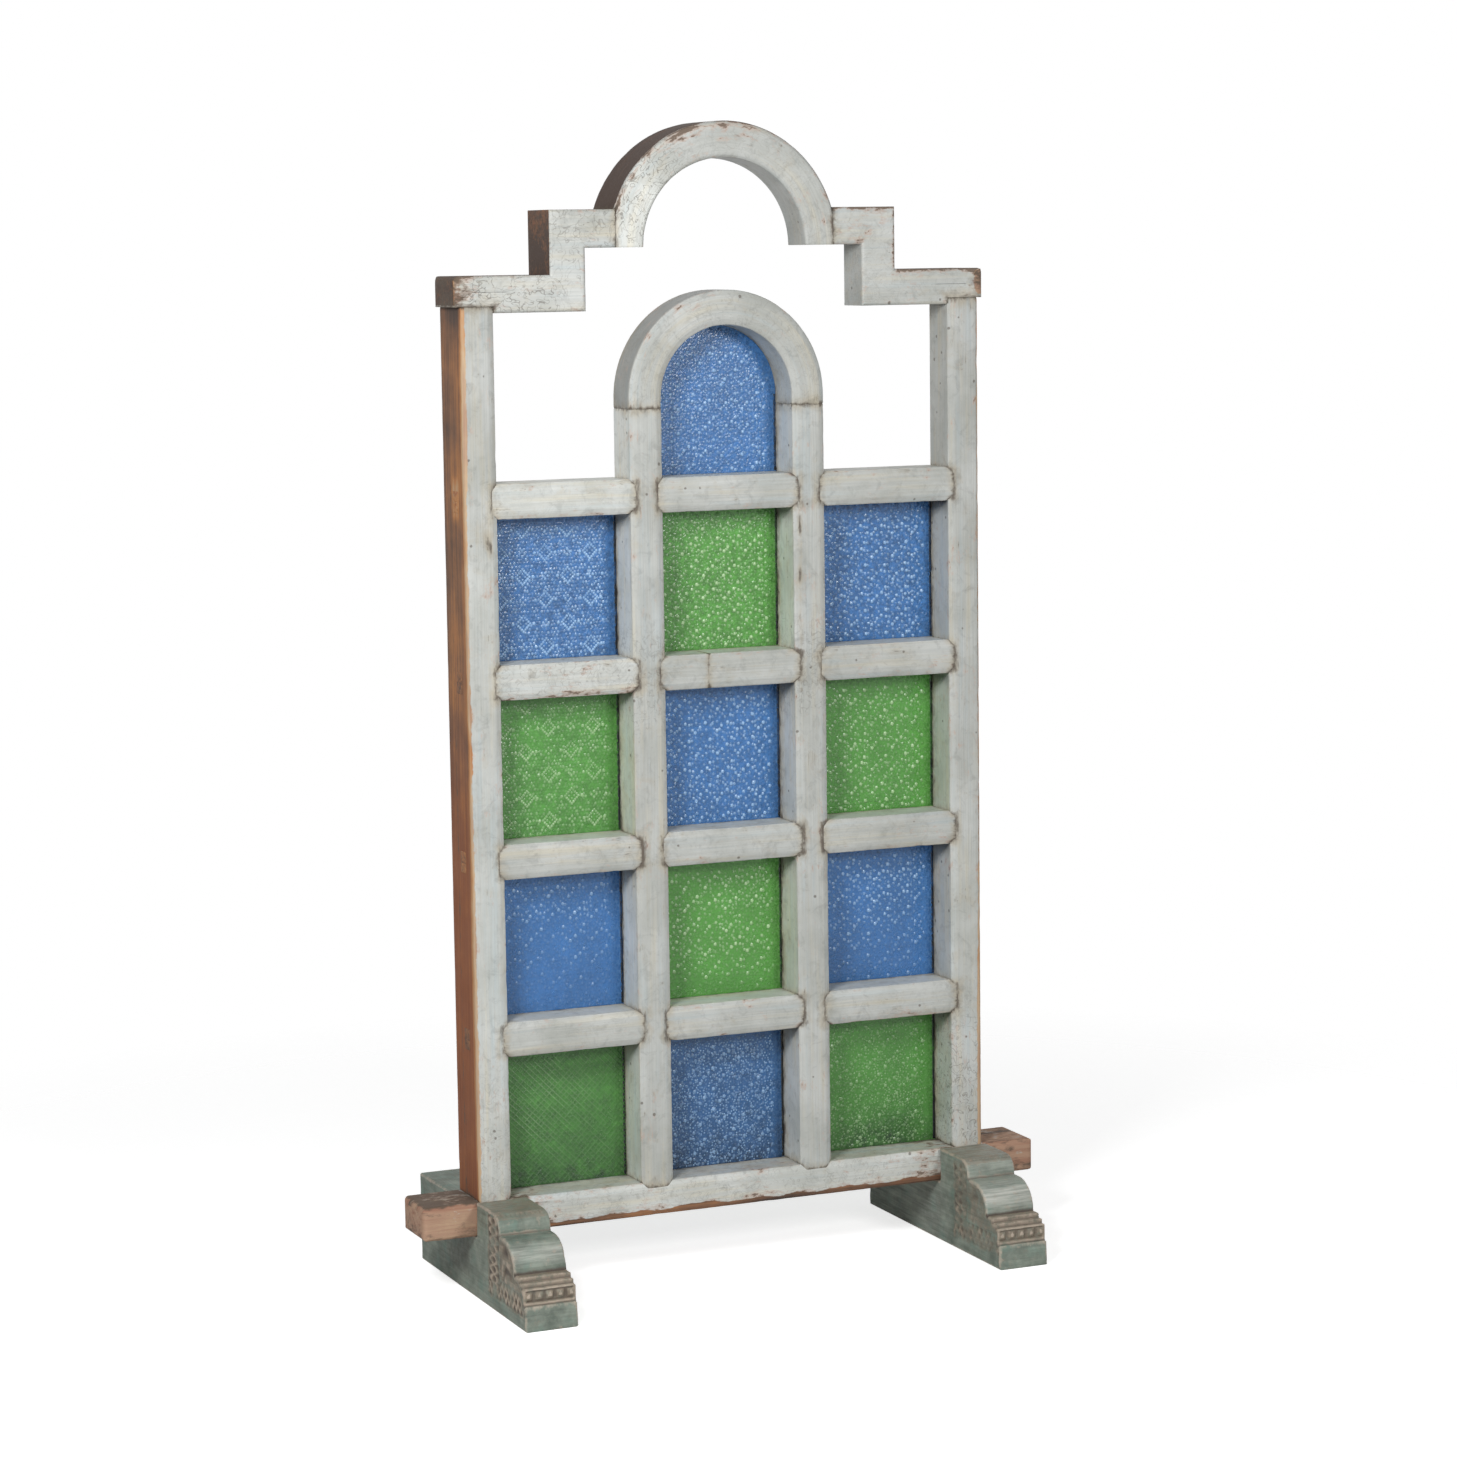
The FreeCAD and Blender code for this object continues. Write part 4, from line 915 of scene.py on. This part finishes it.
def pane(name, tint, pattern, amount, outline, opening, arch=None, dimpled=0.7, soil=0.0, fade_low=0.0, soot=0.0):
    """One pane of glass: a slab with its pattern raised on the front, and its edges held in the rebates."""
    front, back = (corner.y * 1000 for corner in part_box(name))
    left, right, low, high = opening
    middle, half = (left + right) / 2, (right - left) / 2

    def inside(x, z, margin):
        """Within the clear opening by a margin."""
        if arch and z > arch:
            return math.hypot(x - middle, z - arch) < half - margin
        return left + margin < x < right - margin and low + margin < z < high - margin

    def glint_light(x, z):
        """How much painted glint a mark may take: 1 in the open, less in the shadow under the rail above and beside the
        right post, and low down where the pane fades.
        """
        roof = arch + math.sqrt(max(0, half ** 2 - (x - middle) ** 2)) if arch else high
        under = min(1, max(0, (roof - z - 12) / 14))
        beside = min(1, max(0, (right - x - 10) / 12))
        kept = min(1, max(0, (z - low) / max(1, fade_low * (high - low)))) if fade_low else 1
        return under * beside * (0.25 + 0.75 * kept)

    relief = Relief(inside, glint_light, seed=name)
    pattern(relief, left, right, low, high, amount)
    # A dark strip in the corner between the glass and the right-hand post: packed dirt, and a painted shadow of the gap
    relief.ridge(right - 1.8, low + 1, right - 1.8, (arch or high) - 1, 4.4, 0.4, 0, soil=1.5)
    flat = np.array(outline)
    core, reach = flat[:, 0].mean(), np.abs(flat[:, 0] - flat[:, 0].mean()).max() - 3

    def well_inside(x, z):
        """Inside the cut edge of the glass by more than 3 mm."""
        if arch and z > arch:
            return math.hypot(x - core, z - arch) < reach
        return abs(x - core) < reach and flat[:, 1].min() + 3 < z < flat[:, 1].max() - 3

    def dust(x, z):
        """Dust lies thickest low down; soot has settled in one place, near the middle."""
        smoke = soot * math.exp(-((x - left - 0.55 * (right - left)) / 90) ** 2 - ((z - low - 16) / 40) ** 2)
        return soil * (0.9 + 0.5 * max(0, 1 - (z - low) / 90)) + 0.2 * max(0, 1 - (z - low) / 30) + smoke

    spots, triangles = flat_fill(outline, 8, well_inside)
    count, rim = len(spots), len(outline)
    points = [(x, y, z) for y in (front, back) for x, z in spots]
    faces = triangles + [tuple(count + k for k in reversed(t)) for t in triangles]
    faces += [(k, (k + 1) % rim, count + (k + 1) % rim, count + k) for k in range(rim)]
    faces += [tuple(2 * count + k for k in face) for face in relief.faces]
    points += [(x, front - rise, z) for x, rise, z in relief.points]
    # Painted light: the glass is paler along the top and right edges, where the rail above and the post beside it shade
    # it
    painted_edge_light = [0.13 * max(0, 1 - max(0, right - x) / 26, 1 - max(0, high - z) / 30) for x, z in spots]
    # Dust and soot at each point, plus the painted shade under the beads and in the corner
    dust_and_shade = [dust(x, z) + under for (x, y, z), under in zip(points, [0] * (2 * count) + relief.soil)]
    shell(name, points, faces, TINTS[tint],
          {"crown": painted_edge_light * 2 + relief.crown, "soil": dust_and_shade, "dimpled": [dimpled] * len(points)},
          smooth=60)


HEIGHTS = {1: (ROWS["b"][1], ROWS["a"][0]), 2: (ROWS["c"][1], ROWS["b"][0]), 3: (ROWS["d"][1], ROWS["c"][0]),
           4: (SILL_TOP, ROWS["d"][0])}
# For each pane its colour, its pattern, its painted glints' strength, how dimpled and dirty it is, and how far up they
# fade
for (row, column), (tint, pattern, amount, dimpled, soil, fade_low) in {
        (1, "left"): ("blue", diamonds, 0.95, 1.0, 0.14, 0.0), (1, "centre"): ("green", flowers, 1.05, 0.9, 0.0, 0.0),
        (1, "right"): ("blue", flowers, 1.4, 1.0, 0.0, 0.0), (2, "left"): ("green", diamonds, 0.62, 0.6, 0.15, 0.0),
        (2, "centre"): ("blue", flowers, 1.4, 0.7, 0.0, 0.0), (2, "right"): ("green", flowers, 0.88, 0.4, 0.0, 0.0),
        (3, "left"): ("blue", flowers, 0.8, 0.3, 0.0, 1.0), (3, "centre"): ("green", flowers, 0.95, 0.2, 0.0, 0.3),
        (3, "right"): ("blue", flowers, 1.25, 0.3, 0.0, 0.7), (4, "left"): ("green", reeds, 0.3, 0.5, 0.8, 1.0),
        (4, "centre"): ("blue", fine_beads, 0.85, 0.3, 0.75, 0.0),
        (4, "right"): ("green", fine_beads, 0.56, 0.2, 0.27, 0.0)}.items():
    node = f"pane_{row}_{column}"
    low, high = box(node)
    corners = [np.array(corner) for corner in ((low.x, low.z), (high.x, low.z), (high.x, high.z), (low.x, high.z))]
    edge = [tuple(corners[i] + (corners[(i + 1) % 4] - corners[i]) * k / 24) for i in range(4) for k in range(24)]
    pane(node, tint, pattern, amount, edge, (*COLUMNS[column], *HEIGHTS[row]), dimpled=dimpled, soil=soil,
         fade_low=fade_low, soot=0.85 if (row, column) == (4, "right") else 0.0)
low, high = box("pane_arch")
edge = [(low.x + (high.x - low.x) * k / 24, low.z) for k in range(25)]
edge += [(high.x * math.cos(math.pi * k / 48), ARCH_CENTRE + high.x * math.sin(math.pi * k / 48)) for k in range(49)]
pane("pane_arch", "blue", flowers, 1.15, edge,
     (*COLUMNS["centre"], ROWS["a"][1], ARCH_CENTRE + MULLION_X - MULLION_HALF), arch=ARCH_CENTRE)


# Glazing beads
# Thin splayed strips of softwood that hold the panes from behind. They are planed, mitred at the corners and
# pinned into the rebates, and had one thin coat of paint, so the wood shows through to the eye in warm patches.

BEAD_PAINT, BEAD_WOOD = "#B3B0A4", "#8A735C"
bead_paint, node = blank("thin paint on planed strip wood")
place = node("TexCoord", out="Object")
patch = node("TexNoise", place, 30, 6, 0.65)
colour = node("Mix", node("MapRange", patch, 0.46, 0.62), BEAD_PAINT, BEAD_WOOD)
plane = node("TexNoise", place, 260, 4)
bump = node("Bump", Strength=0.4, Distance=0.0008, Height=plane)
rough = node("MapRange", plane, 0, 1, 0.45, 0.75)
node("OutputMaterial", node("BsdfPrincipled", colour, Roughness=rough, Normal=bump))
for name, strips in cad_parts.items():
    if name.startswith("beads_"):
        for material_slot in strips.material_slots:
            material_slot.material = bead_paint


# Feet
# Two bracket feet of soft wood, sawn to the outline of a stepped moulding, carved, and painted grey-green. Each
# has an open notch that the sill drops into. The paint is rubbed off the carving down to the brown wood.

FOOT_PAINT = {"dull": "#5F695F", "pale": "#8B9488", "teal": "#6B8579", "chalk": "#B8B9B1"}
FOOT_WOOD, FOOT_RUBBED, FOOT_PITS_AND_SHADE = "#897867", "#C0B1A0", "#3B322B"


def carved_paint():
    """Thin grey-green paint on carved wood: pale on the rubbed high parts, brown and dark in the cuts, and darker still
    with painted shade in corners and under the horn.
    """
    material, node = blank("rubbed grey-green paint on carved wood")
    place = node("Attribute", attribute_name="grain", out="Vector")
    arris, cut_and_shade, carved, chalk_and_light, front = (node("Attribute", attribute_name=key, out="Fac")
                                         for key in ("arris", "cut_and_shade", "carved", "chalk_and_light", "front"))
    mottle = node("TexNoise", place, 24, 6, 0.65)
    colour = node("Mix", node("MapRange", mottle, 0.35, 0.65), FOOT_PAINT["dull"], FOOT_PAINT["pale"])
    # Streaks along the sides, and across the front, the way the moulding plane ran
    grain = node("TexNoise", node("Mapping", place, Scale=(14, 190, 190)), 1, 5, 0.6)
    across = node("TexNoise", node("Mapping", place, Scale=(170, 11, 170)), 1, 6, 0.68)
    grain = node("Mix", front, grain, across, data_type="FLOAT")
    rub = node("TexNoise", place, 75, 6, 0.65)
    teal = node("TexNoise", place, 31, 3)
    colour = node("Mix", node("MapRange", teal, 0.52, 0.68, 0, 0.6), colour, FOOT_PAINT["teal"])
    # A chalky pale coat is left on the swell of the moulding, streaked across it
    # The same pale mix paints light onto the rear of the right foot's side, by the sill, lifting its shadow
    chalk = node("Math", node("Math", grain, 1.8, -0.4, use_clamp=True), chalk_and_light, operation="MULTIPLY", use_clamp=True)
    colour = node("Mix", chalk, colour, FOOT_PAINT["chalk"])
    # The carving has lost most of its paint: dull brown wood, with pale rubbed edges and dark pits, and painted shade
    brown = node("Math", rub, 1.6, carved)
    colour = node("Mix", node("MapRange", brown, 0.95, 1.6, 0, 0.8), colour, FOOT_WOOD)
    colour = node("Mix", 1, colour, node("MapRange", grain, 0.32, 0.66, 0.78, 1.13), blend_type="MULTIPLY")
    high = node("Math", arris, 0.4, rub)
    colour = node("Mix", node("MapRange", high, 0.66, 0.92, 0, 0.7), colour, FOOT_RUBBED)
    pits_and_shade = node("Math", rub, 0.5, cut_and_shade)
    colour = node("Mix", node("MapRange", pits_and_shade, 0.5, 1.08, 0, 0.9), colour, FOOT_PITS_AND_SHADE)
    bump = node("Bump", Strength=0.7, Distance=0.0016, Height=node("Math", rub, 0.6, grain))
    rough = node("MapRange", rub, 0, 1, 0.45, 0.75)
    node("OutputMaterial", node("BsdfPrincipled", colour, Roughness=rough, Normal=bump))
    return material


CARVED = carved_paint()


def bow(start, end, radius, count=9):
    """Points of an arc from start to end that swells to the left of the way it runs."""
    start, end = np.array(start, float), np.array(end, float)
    chord = end - start
    length = np.linalg.norm(chord)
    middle = (start + end) / 2 - np.array([-chord[1], chord[0]]) / length * math.sqrt(radius ** 2 - (length / 2) ** 2)
    first, last = (math.atan2(*(point - middle)[::-1]) for point in (start, end))
    if last > first:
        last -= 2 * math.pi
    return [tuple(middle + radius * np.array([math.cos(a), math.sin(a)])) for a in np.linspace(first, last, count)]


# The outline of a foot from its toe up over the mouldings, through the notch and down the back: y, z, easing
FOOT_FRONT, FOOT_BACK, FRONT_TOP, REAR_TOP, NOTCH = -247, 247, 158, 147.0, SILL_LOW.z
NOTCH_FRONT, NOTCH_BACK = FACE_Y - 0.5, FACE_Y + DEEP + 0.5
STEPS = ((-239, 40), (-230, 67), (-219, 74), (-200, 81), (-133, 128))      # inner corners of the mouldings
PROFILE = [(FOOT_FRONT, 0, 2), (-244, 40, 1.5), (-239, 40, 1.5), (-239, 67, 2), (-230, 67, 1.5), (-230, 74, 2),
           (-219, 74, 1.5), (-219, 81, 2), *((y, z, 1) for y, z in bow((-200, 81), (-150, 128), 48)), (-133, 128, 1.5),
           *((y, z, 1) for y, z in bow((-133, 134), (-103, FRONT_TOP), 27)), (NOTCH_FRONT, FRONT_TOP, 2),
           (NOTCH_FRONT, NOTCH, 1), (NOTCH_BACK, NOTCH, 1), (NOTCH_BACK, REAR_TOP, 2), (FOOT_BACK, REAR_TOP, 3),
           (FOOT_BACK, 0, 2)]


def plait(along, across, pitch=15.5):
    """Depth cut for a border of two strands that cross and part, with holes between; across runs from -1 to 1."""
    edge = abs(across)
    if edge > 1:
        return 0.0
    swing = 0.56 * math.sin(math.pi * along / pitch)
    off = min(abs(across - swing), abs(across + swing))
    return 2.6 * min(1, max(0, off - 0.12) / 0.26) * min(1, (1 - edge) / 0.2)


def side_cut(y, z, gap):
    """How deep a foot's side is carved, in mm, and how much it is worked: borders, leaves, a line along the outline."""
    if 44 < z < 151 and -131 < y < -77:
        return plait(z - 44, (y + 104) / 27), min(1, 1.5 - abs(y + 104) / 27)
    if 20 < z < 58 and -241 < y < -77:
        return plait(y + 241, (z - 39) / 19), min(1, 1.5 - abs(z - 39) / 19)
    if z > 58 and y < -131:
        rim = 2.2 * math.exp(-((gap - 8) / 2.2) ** 2)
        turn, reach = math.atan2(z - 52, -(y + 128)), math.hypot(z - 52, y + 128)
        curl = math.sin(turn * 9 + 1.6 * math.sin(reach / 8)) + 0.5 * math.sin(reach / 4.5 + 3 * turn)
        leaf = 1.2 - 1.1 * curl * min(1, max(0, (reach - 8) / 14))
        return max(rim, leaf * min(1, max(0, (gap - 7) / 3))), 1.0
    return 0.0, 0.0


def front_rise(x, y, z, wide):
    """How far the carving stands out of the moulded front, in mm: pearls between two fillets, and a row of pits."""
    if y < -234 and 41 < z < 67.5:
        if z < 46 or z > 63.5:
            return 0.4
        across = ((x / wide * 5) % 1 - 0.5) / 0.36
        up = (z - 54.8) / 6.6
        return -3.2 + 3.6 * max(0, 1 - abs(across) ** 4) * max(0, 1 - abs(up) ** 4)
    if -123 < y < -112 and z > 146:
        across = (x / wide * 11) % 1 - 0.5
        up = (y + 117.5) / 5
        return -1.6 * max(0, 1 - (across / 0.3) ** 2 - up * up)
    return 0.0


for name, side in SIDES.items():
    low_x, high_x = (corner.x * 1000 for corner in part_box(f"{name}_foot"))
    wide = high_x - low_x
    loop, normals, wear = eased_loop([(y, z, e, 0.25 if e == 1 else 0.8 if z > 3 else 0.4) for y, z, e in PROFILE],
                                     step=2.6)
    count = len(loop)
    edge = [0, 0.5, 1.4, 2.8, 4.5]
    across = edge + list(np.linspace(6.5, wide - 6.5, 42)) + [wide - e for e in reversed(edge)]
    rows = []                                 # x, y, z, arris, cut, carved, chalky, front
    for x in across:
        gap = min(x, wide - x)
        pull = 2.6 * max(0, 1 - gap / 3.0) ** 2
        for (y, z), (ny, nz), w in zip(loop, normals, wear):
            rise = front_rise(x, y, z, wide) * min(1, max(0, (gap - 2) / 4))
            front = y < FACE_Y - 1 and z > 3
            corner = min(math.hypot(y - cy, z - cz) for cy, cz in STEPS)
            swell = max(0, 1 - abs(z - 109) / 19) if -202 < y < -146 else 0.0
            # The cut value darkens the cuts, and paints shade into the inner corners of the steps and low on the swell
            rows.append((
                low_x + x, y + ny * (rise - pull), z + nz * (rise - pull),
                max(w, 0.9 * max(0, 1 - gap / 6), 1.0 if rise > 0.2 else 0),
                min(1, max(0, -rise / (5.2 if side < 0 else 7.0))) + 0.75 * max(0, 1 - corner / 5)
                + (0.3 * max(0, 1 - abs(z - 84) / 10) if front and y > -205 else 0),
                (0.75 if 40.5 < z < 84 else 0.5 if z > 150 else 0.05) if front else 0.1,
                ((1 if side < 0 else 1.3) * swell + (0.45 if side > 0 and z > 84 else 0.0)) if front else 0.0,
                float(front)))
    faces = bands(len(across), count, capped=False)
    for x, ring, inward in ((low_x, 0, 1), (high_x, len(across) - 1, -1)):
        rim = np.array(rows[ring * count:(ring + 1) * count])[:, 1:3]
        after = np.roll(rim, -1, 0)
        climb = np.where(after[:, 1] == rim[:, 1], 1, after[:, 1] - rim[:, 1])

        def within(y, z):
            """Inside the outline by more than 2 mm, by counting crossings."""
            crossings = (rim[:, 1] > z) != (after[:, 1] > z)
            at = rim[:, 0] + (z - rim[:, 1]) / climb * (after[:, 0] - rim[:, 0])
            far = np.min(np.hypot(rim[:, 0] - y, rim[:, 1] - z)) > 2.0
            return far and np.sum(crossings & (y < at)) % 2 == 1

        spots, triangles = flat_fill([tuple(spot) for spot in rim], 2.6, within)
        base = len(rows)
        for y, z in spots[count:]:
            deep, worked = side_cut(y, z, np.min(np.hypot(rim[:, 0] - y, rim[:, 1] - z)))
            lost = 0.5 + 0.5 * noise.noise(Vector((y, z, 7 * side + x)) / 23)
            worked *= 1.0 if side < 0 else 0.7
            deep = max(0, deep) * (0.2 + 0.9 * lost) * (1.0 if side < 0 else 0.65)
            kept = 0.4 + 0.8 * lost if side < 0 else lost
            # Painted shadow: the left foot's side is darkened behind and below the horn, where its shadow falls
            horn_shadow = 0.48 * max(0, min(1, (y + 12) / 25, (160 - y) / 70, (z - 8) / 25)) if side < 0 else 0
            # On the rear of the right foot's side, by the sill, the chalk value paints light that lifts the shadow
            # there
            rows.append((x + inward * deep, y, z, min(1, worked * kept * max(0, 1 - deep / 1.1)),
                         min(1, deep / 2.7) + horn_shadow, worked * (0.4 + 0.6 * lost),
                         0.4 * (side > 0) * min(1, max(0, (y + 70) / 60)), 0.0))
        faces += [tuple(ring * count + k if k < count else base + k - count for k in t) for t in triangles]
    table = np.array(rows)
    spread = table[:, :3]
    values = dict(zip(("arris", "cut_and_shade", "carved", "chalk_and_light", "front"), table[:, 3:].T))
    uneven = 0.5 * ripple(spread, 30, 60 + side) * (spread[:, 2] > 4)
    chisel = 0.5 * ripple(spread, 7, 67 + side) * values["carved"]
    knock = np.clip(ripple(spread, 16, 64 + side) - 0.1, 0, 1) * values["arris"] * (spread[:, 2] > 4)
    out = spread[:, 0] - (low_x + high_x) / 2
    pull = np.sign(out) * (np.abs(out) > wide / 2 - 6)
    spread[:, 0] -= pull * np.maximum(0.4 + uneven * 0.8 + chisel + 1.2 * knock, 0)
    spread[:, 2] -= (1.3 * knock + np.maximum(chisel, 0)) * (spread[:, 2] > 30)
    values["grain"] = spread[:, [1, 0, 2]] / 1000 + 3.1 * side
    shell(f"{name}_foot", spread, faces, CARVED, values, body="feet", smooth=50)


# Floor, light and camera
# A plain pale studio floor of white card that fades out round the object, two soft lamps, and white all round.
# The camera stands at eye level, to the left of the middle, and looks a little down.

floor_mesh = bpy.data.meshes.new("floor")
floor_mesh.from_pydata([(-6, -6, 0), (6, -6, 0), (6, 6, 0), (-6, 6, 0)], [], [(0, 1, 2, 3)])
floor = bpy.data.objects.new("floor", floor_mesh)
scene.collection.objects.link(floor)
# To the eye: matt white with a faint fleck, bright enough to meet the background without an edge
card, node = blank("white studio card")
place = node("TexCoord", out="Object")
fade = node("MapRange", node("VectorMath", place, operation="LENGTH"), 0.9, 2.2)
fleck = node("MapRange", node("TexNoise", place, 400), 0, 1, 0.93, 0.96)
matt = node("BsdfDiffuse", fleck)
lift = node("Math", node("LightPath", out="Is Camera Ray"), 0.68, operation="MULTIPLY")
matt = node("AddShader", matt, node("Emission", (1, 1, 1, 1), lift))
node("OutputMaterial", node("MixShader", fade, matt, node("BsdfTransparent")))
floor_mesh.materials.append(card)

AMBIENT = 0.16
world = bpy.data.worlds.new("studio")
scene.world = world
world.use_nodes = True
world.node_tree.nodes.clear()
node = partial(add, world.node_tree)
by_eye, by_gloss, glass_corner_dirt_and_shade = (node("LightPath", out=f"Is {ray} Ray") for ray in ("Camera", "Glossy", "Transmission"))
seen = node("Math", node("Math", by_eye, by_gloss, operation="MAXIMUM"), glass_corner_dirt_and_shade, operation="MAXIMUM")
soft, white = (node("Background", (1, 1, 1, 1), strength) for strength in (AMBIENT, 1.0))
node("OutputWorld", node("MixShader", seen, soft, white))

AIM = Vector((0, 0, 0.9))
for name, spot, width, power in (("front lamp", (1.15, -4.65, 2.34), 0.9, 84),
                                 ("left lamp", (-2.0, -2.0, 2.2), 0.8, 62)):
    lamp = bpy.data.lights.new(name, "AREA")
    lamp.size = width
    lamp.energy = power
    stand = bpy.data.objects.new(name, lamp)
    stand.location = spot
    stand.rotation_euler = (AIM - Vector(spot)).to_track_quat("-Z", "Y").to_euler()
    scene.collection.objects.link(stand)

EYE = (-2.46405, -5.69026, 1.66842)
yaw, pitch, roll = (math.radians(angle) for angle in (23.46, 7.17, -0.77))
ahead = Vector((math.sin(yaw) * math.cos(pitch), math.cos(yaw) * math.cos(pitch), -math.sin(pitch)))
level = Vector((math.cos(yaw), -math.sin(yaw), 0))
upward = level.cross(ahead)
right = level * math.cos(roll) + upward * math.sin(roll)
top = upward * math.cos(roll) - level * math.sin(roll)
lens = bpy.data.cameras.new("camera")
lens.sensor_width = 36
lens.lens = 95.07
camera = bpy.data.objects.new("camera", lens)
scene.collection.objects.link(camera)
camera.matrix_world = Matrix.Translation(EYE) @ Matrix((right, top, -ahead)).transposed().to_4x4()
scene.camera = camera
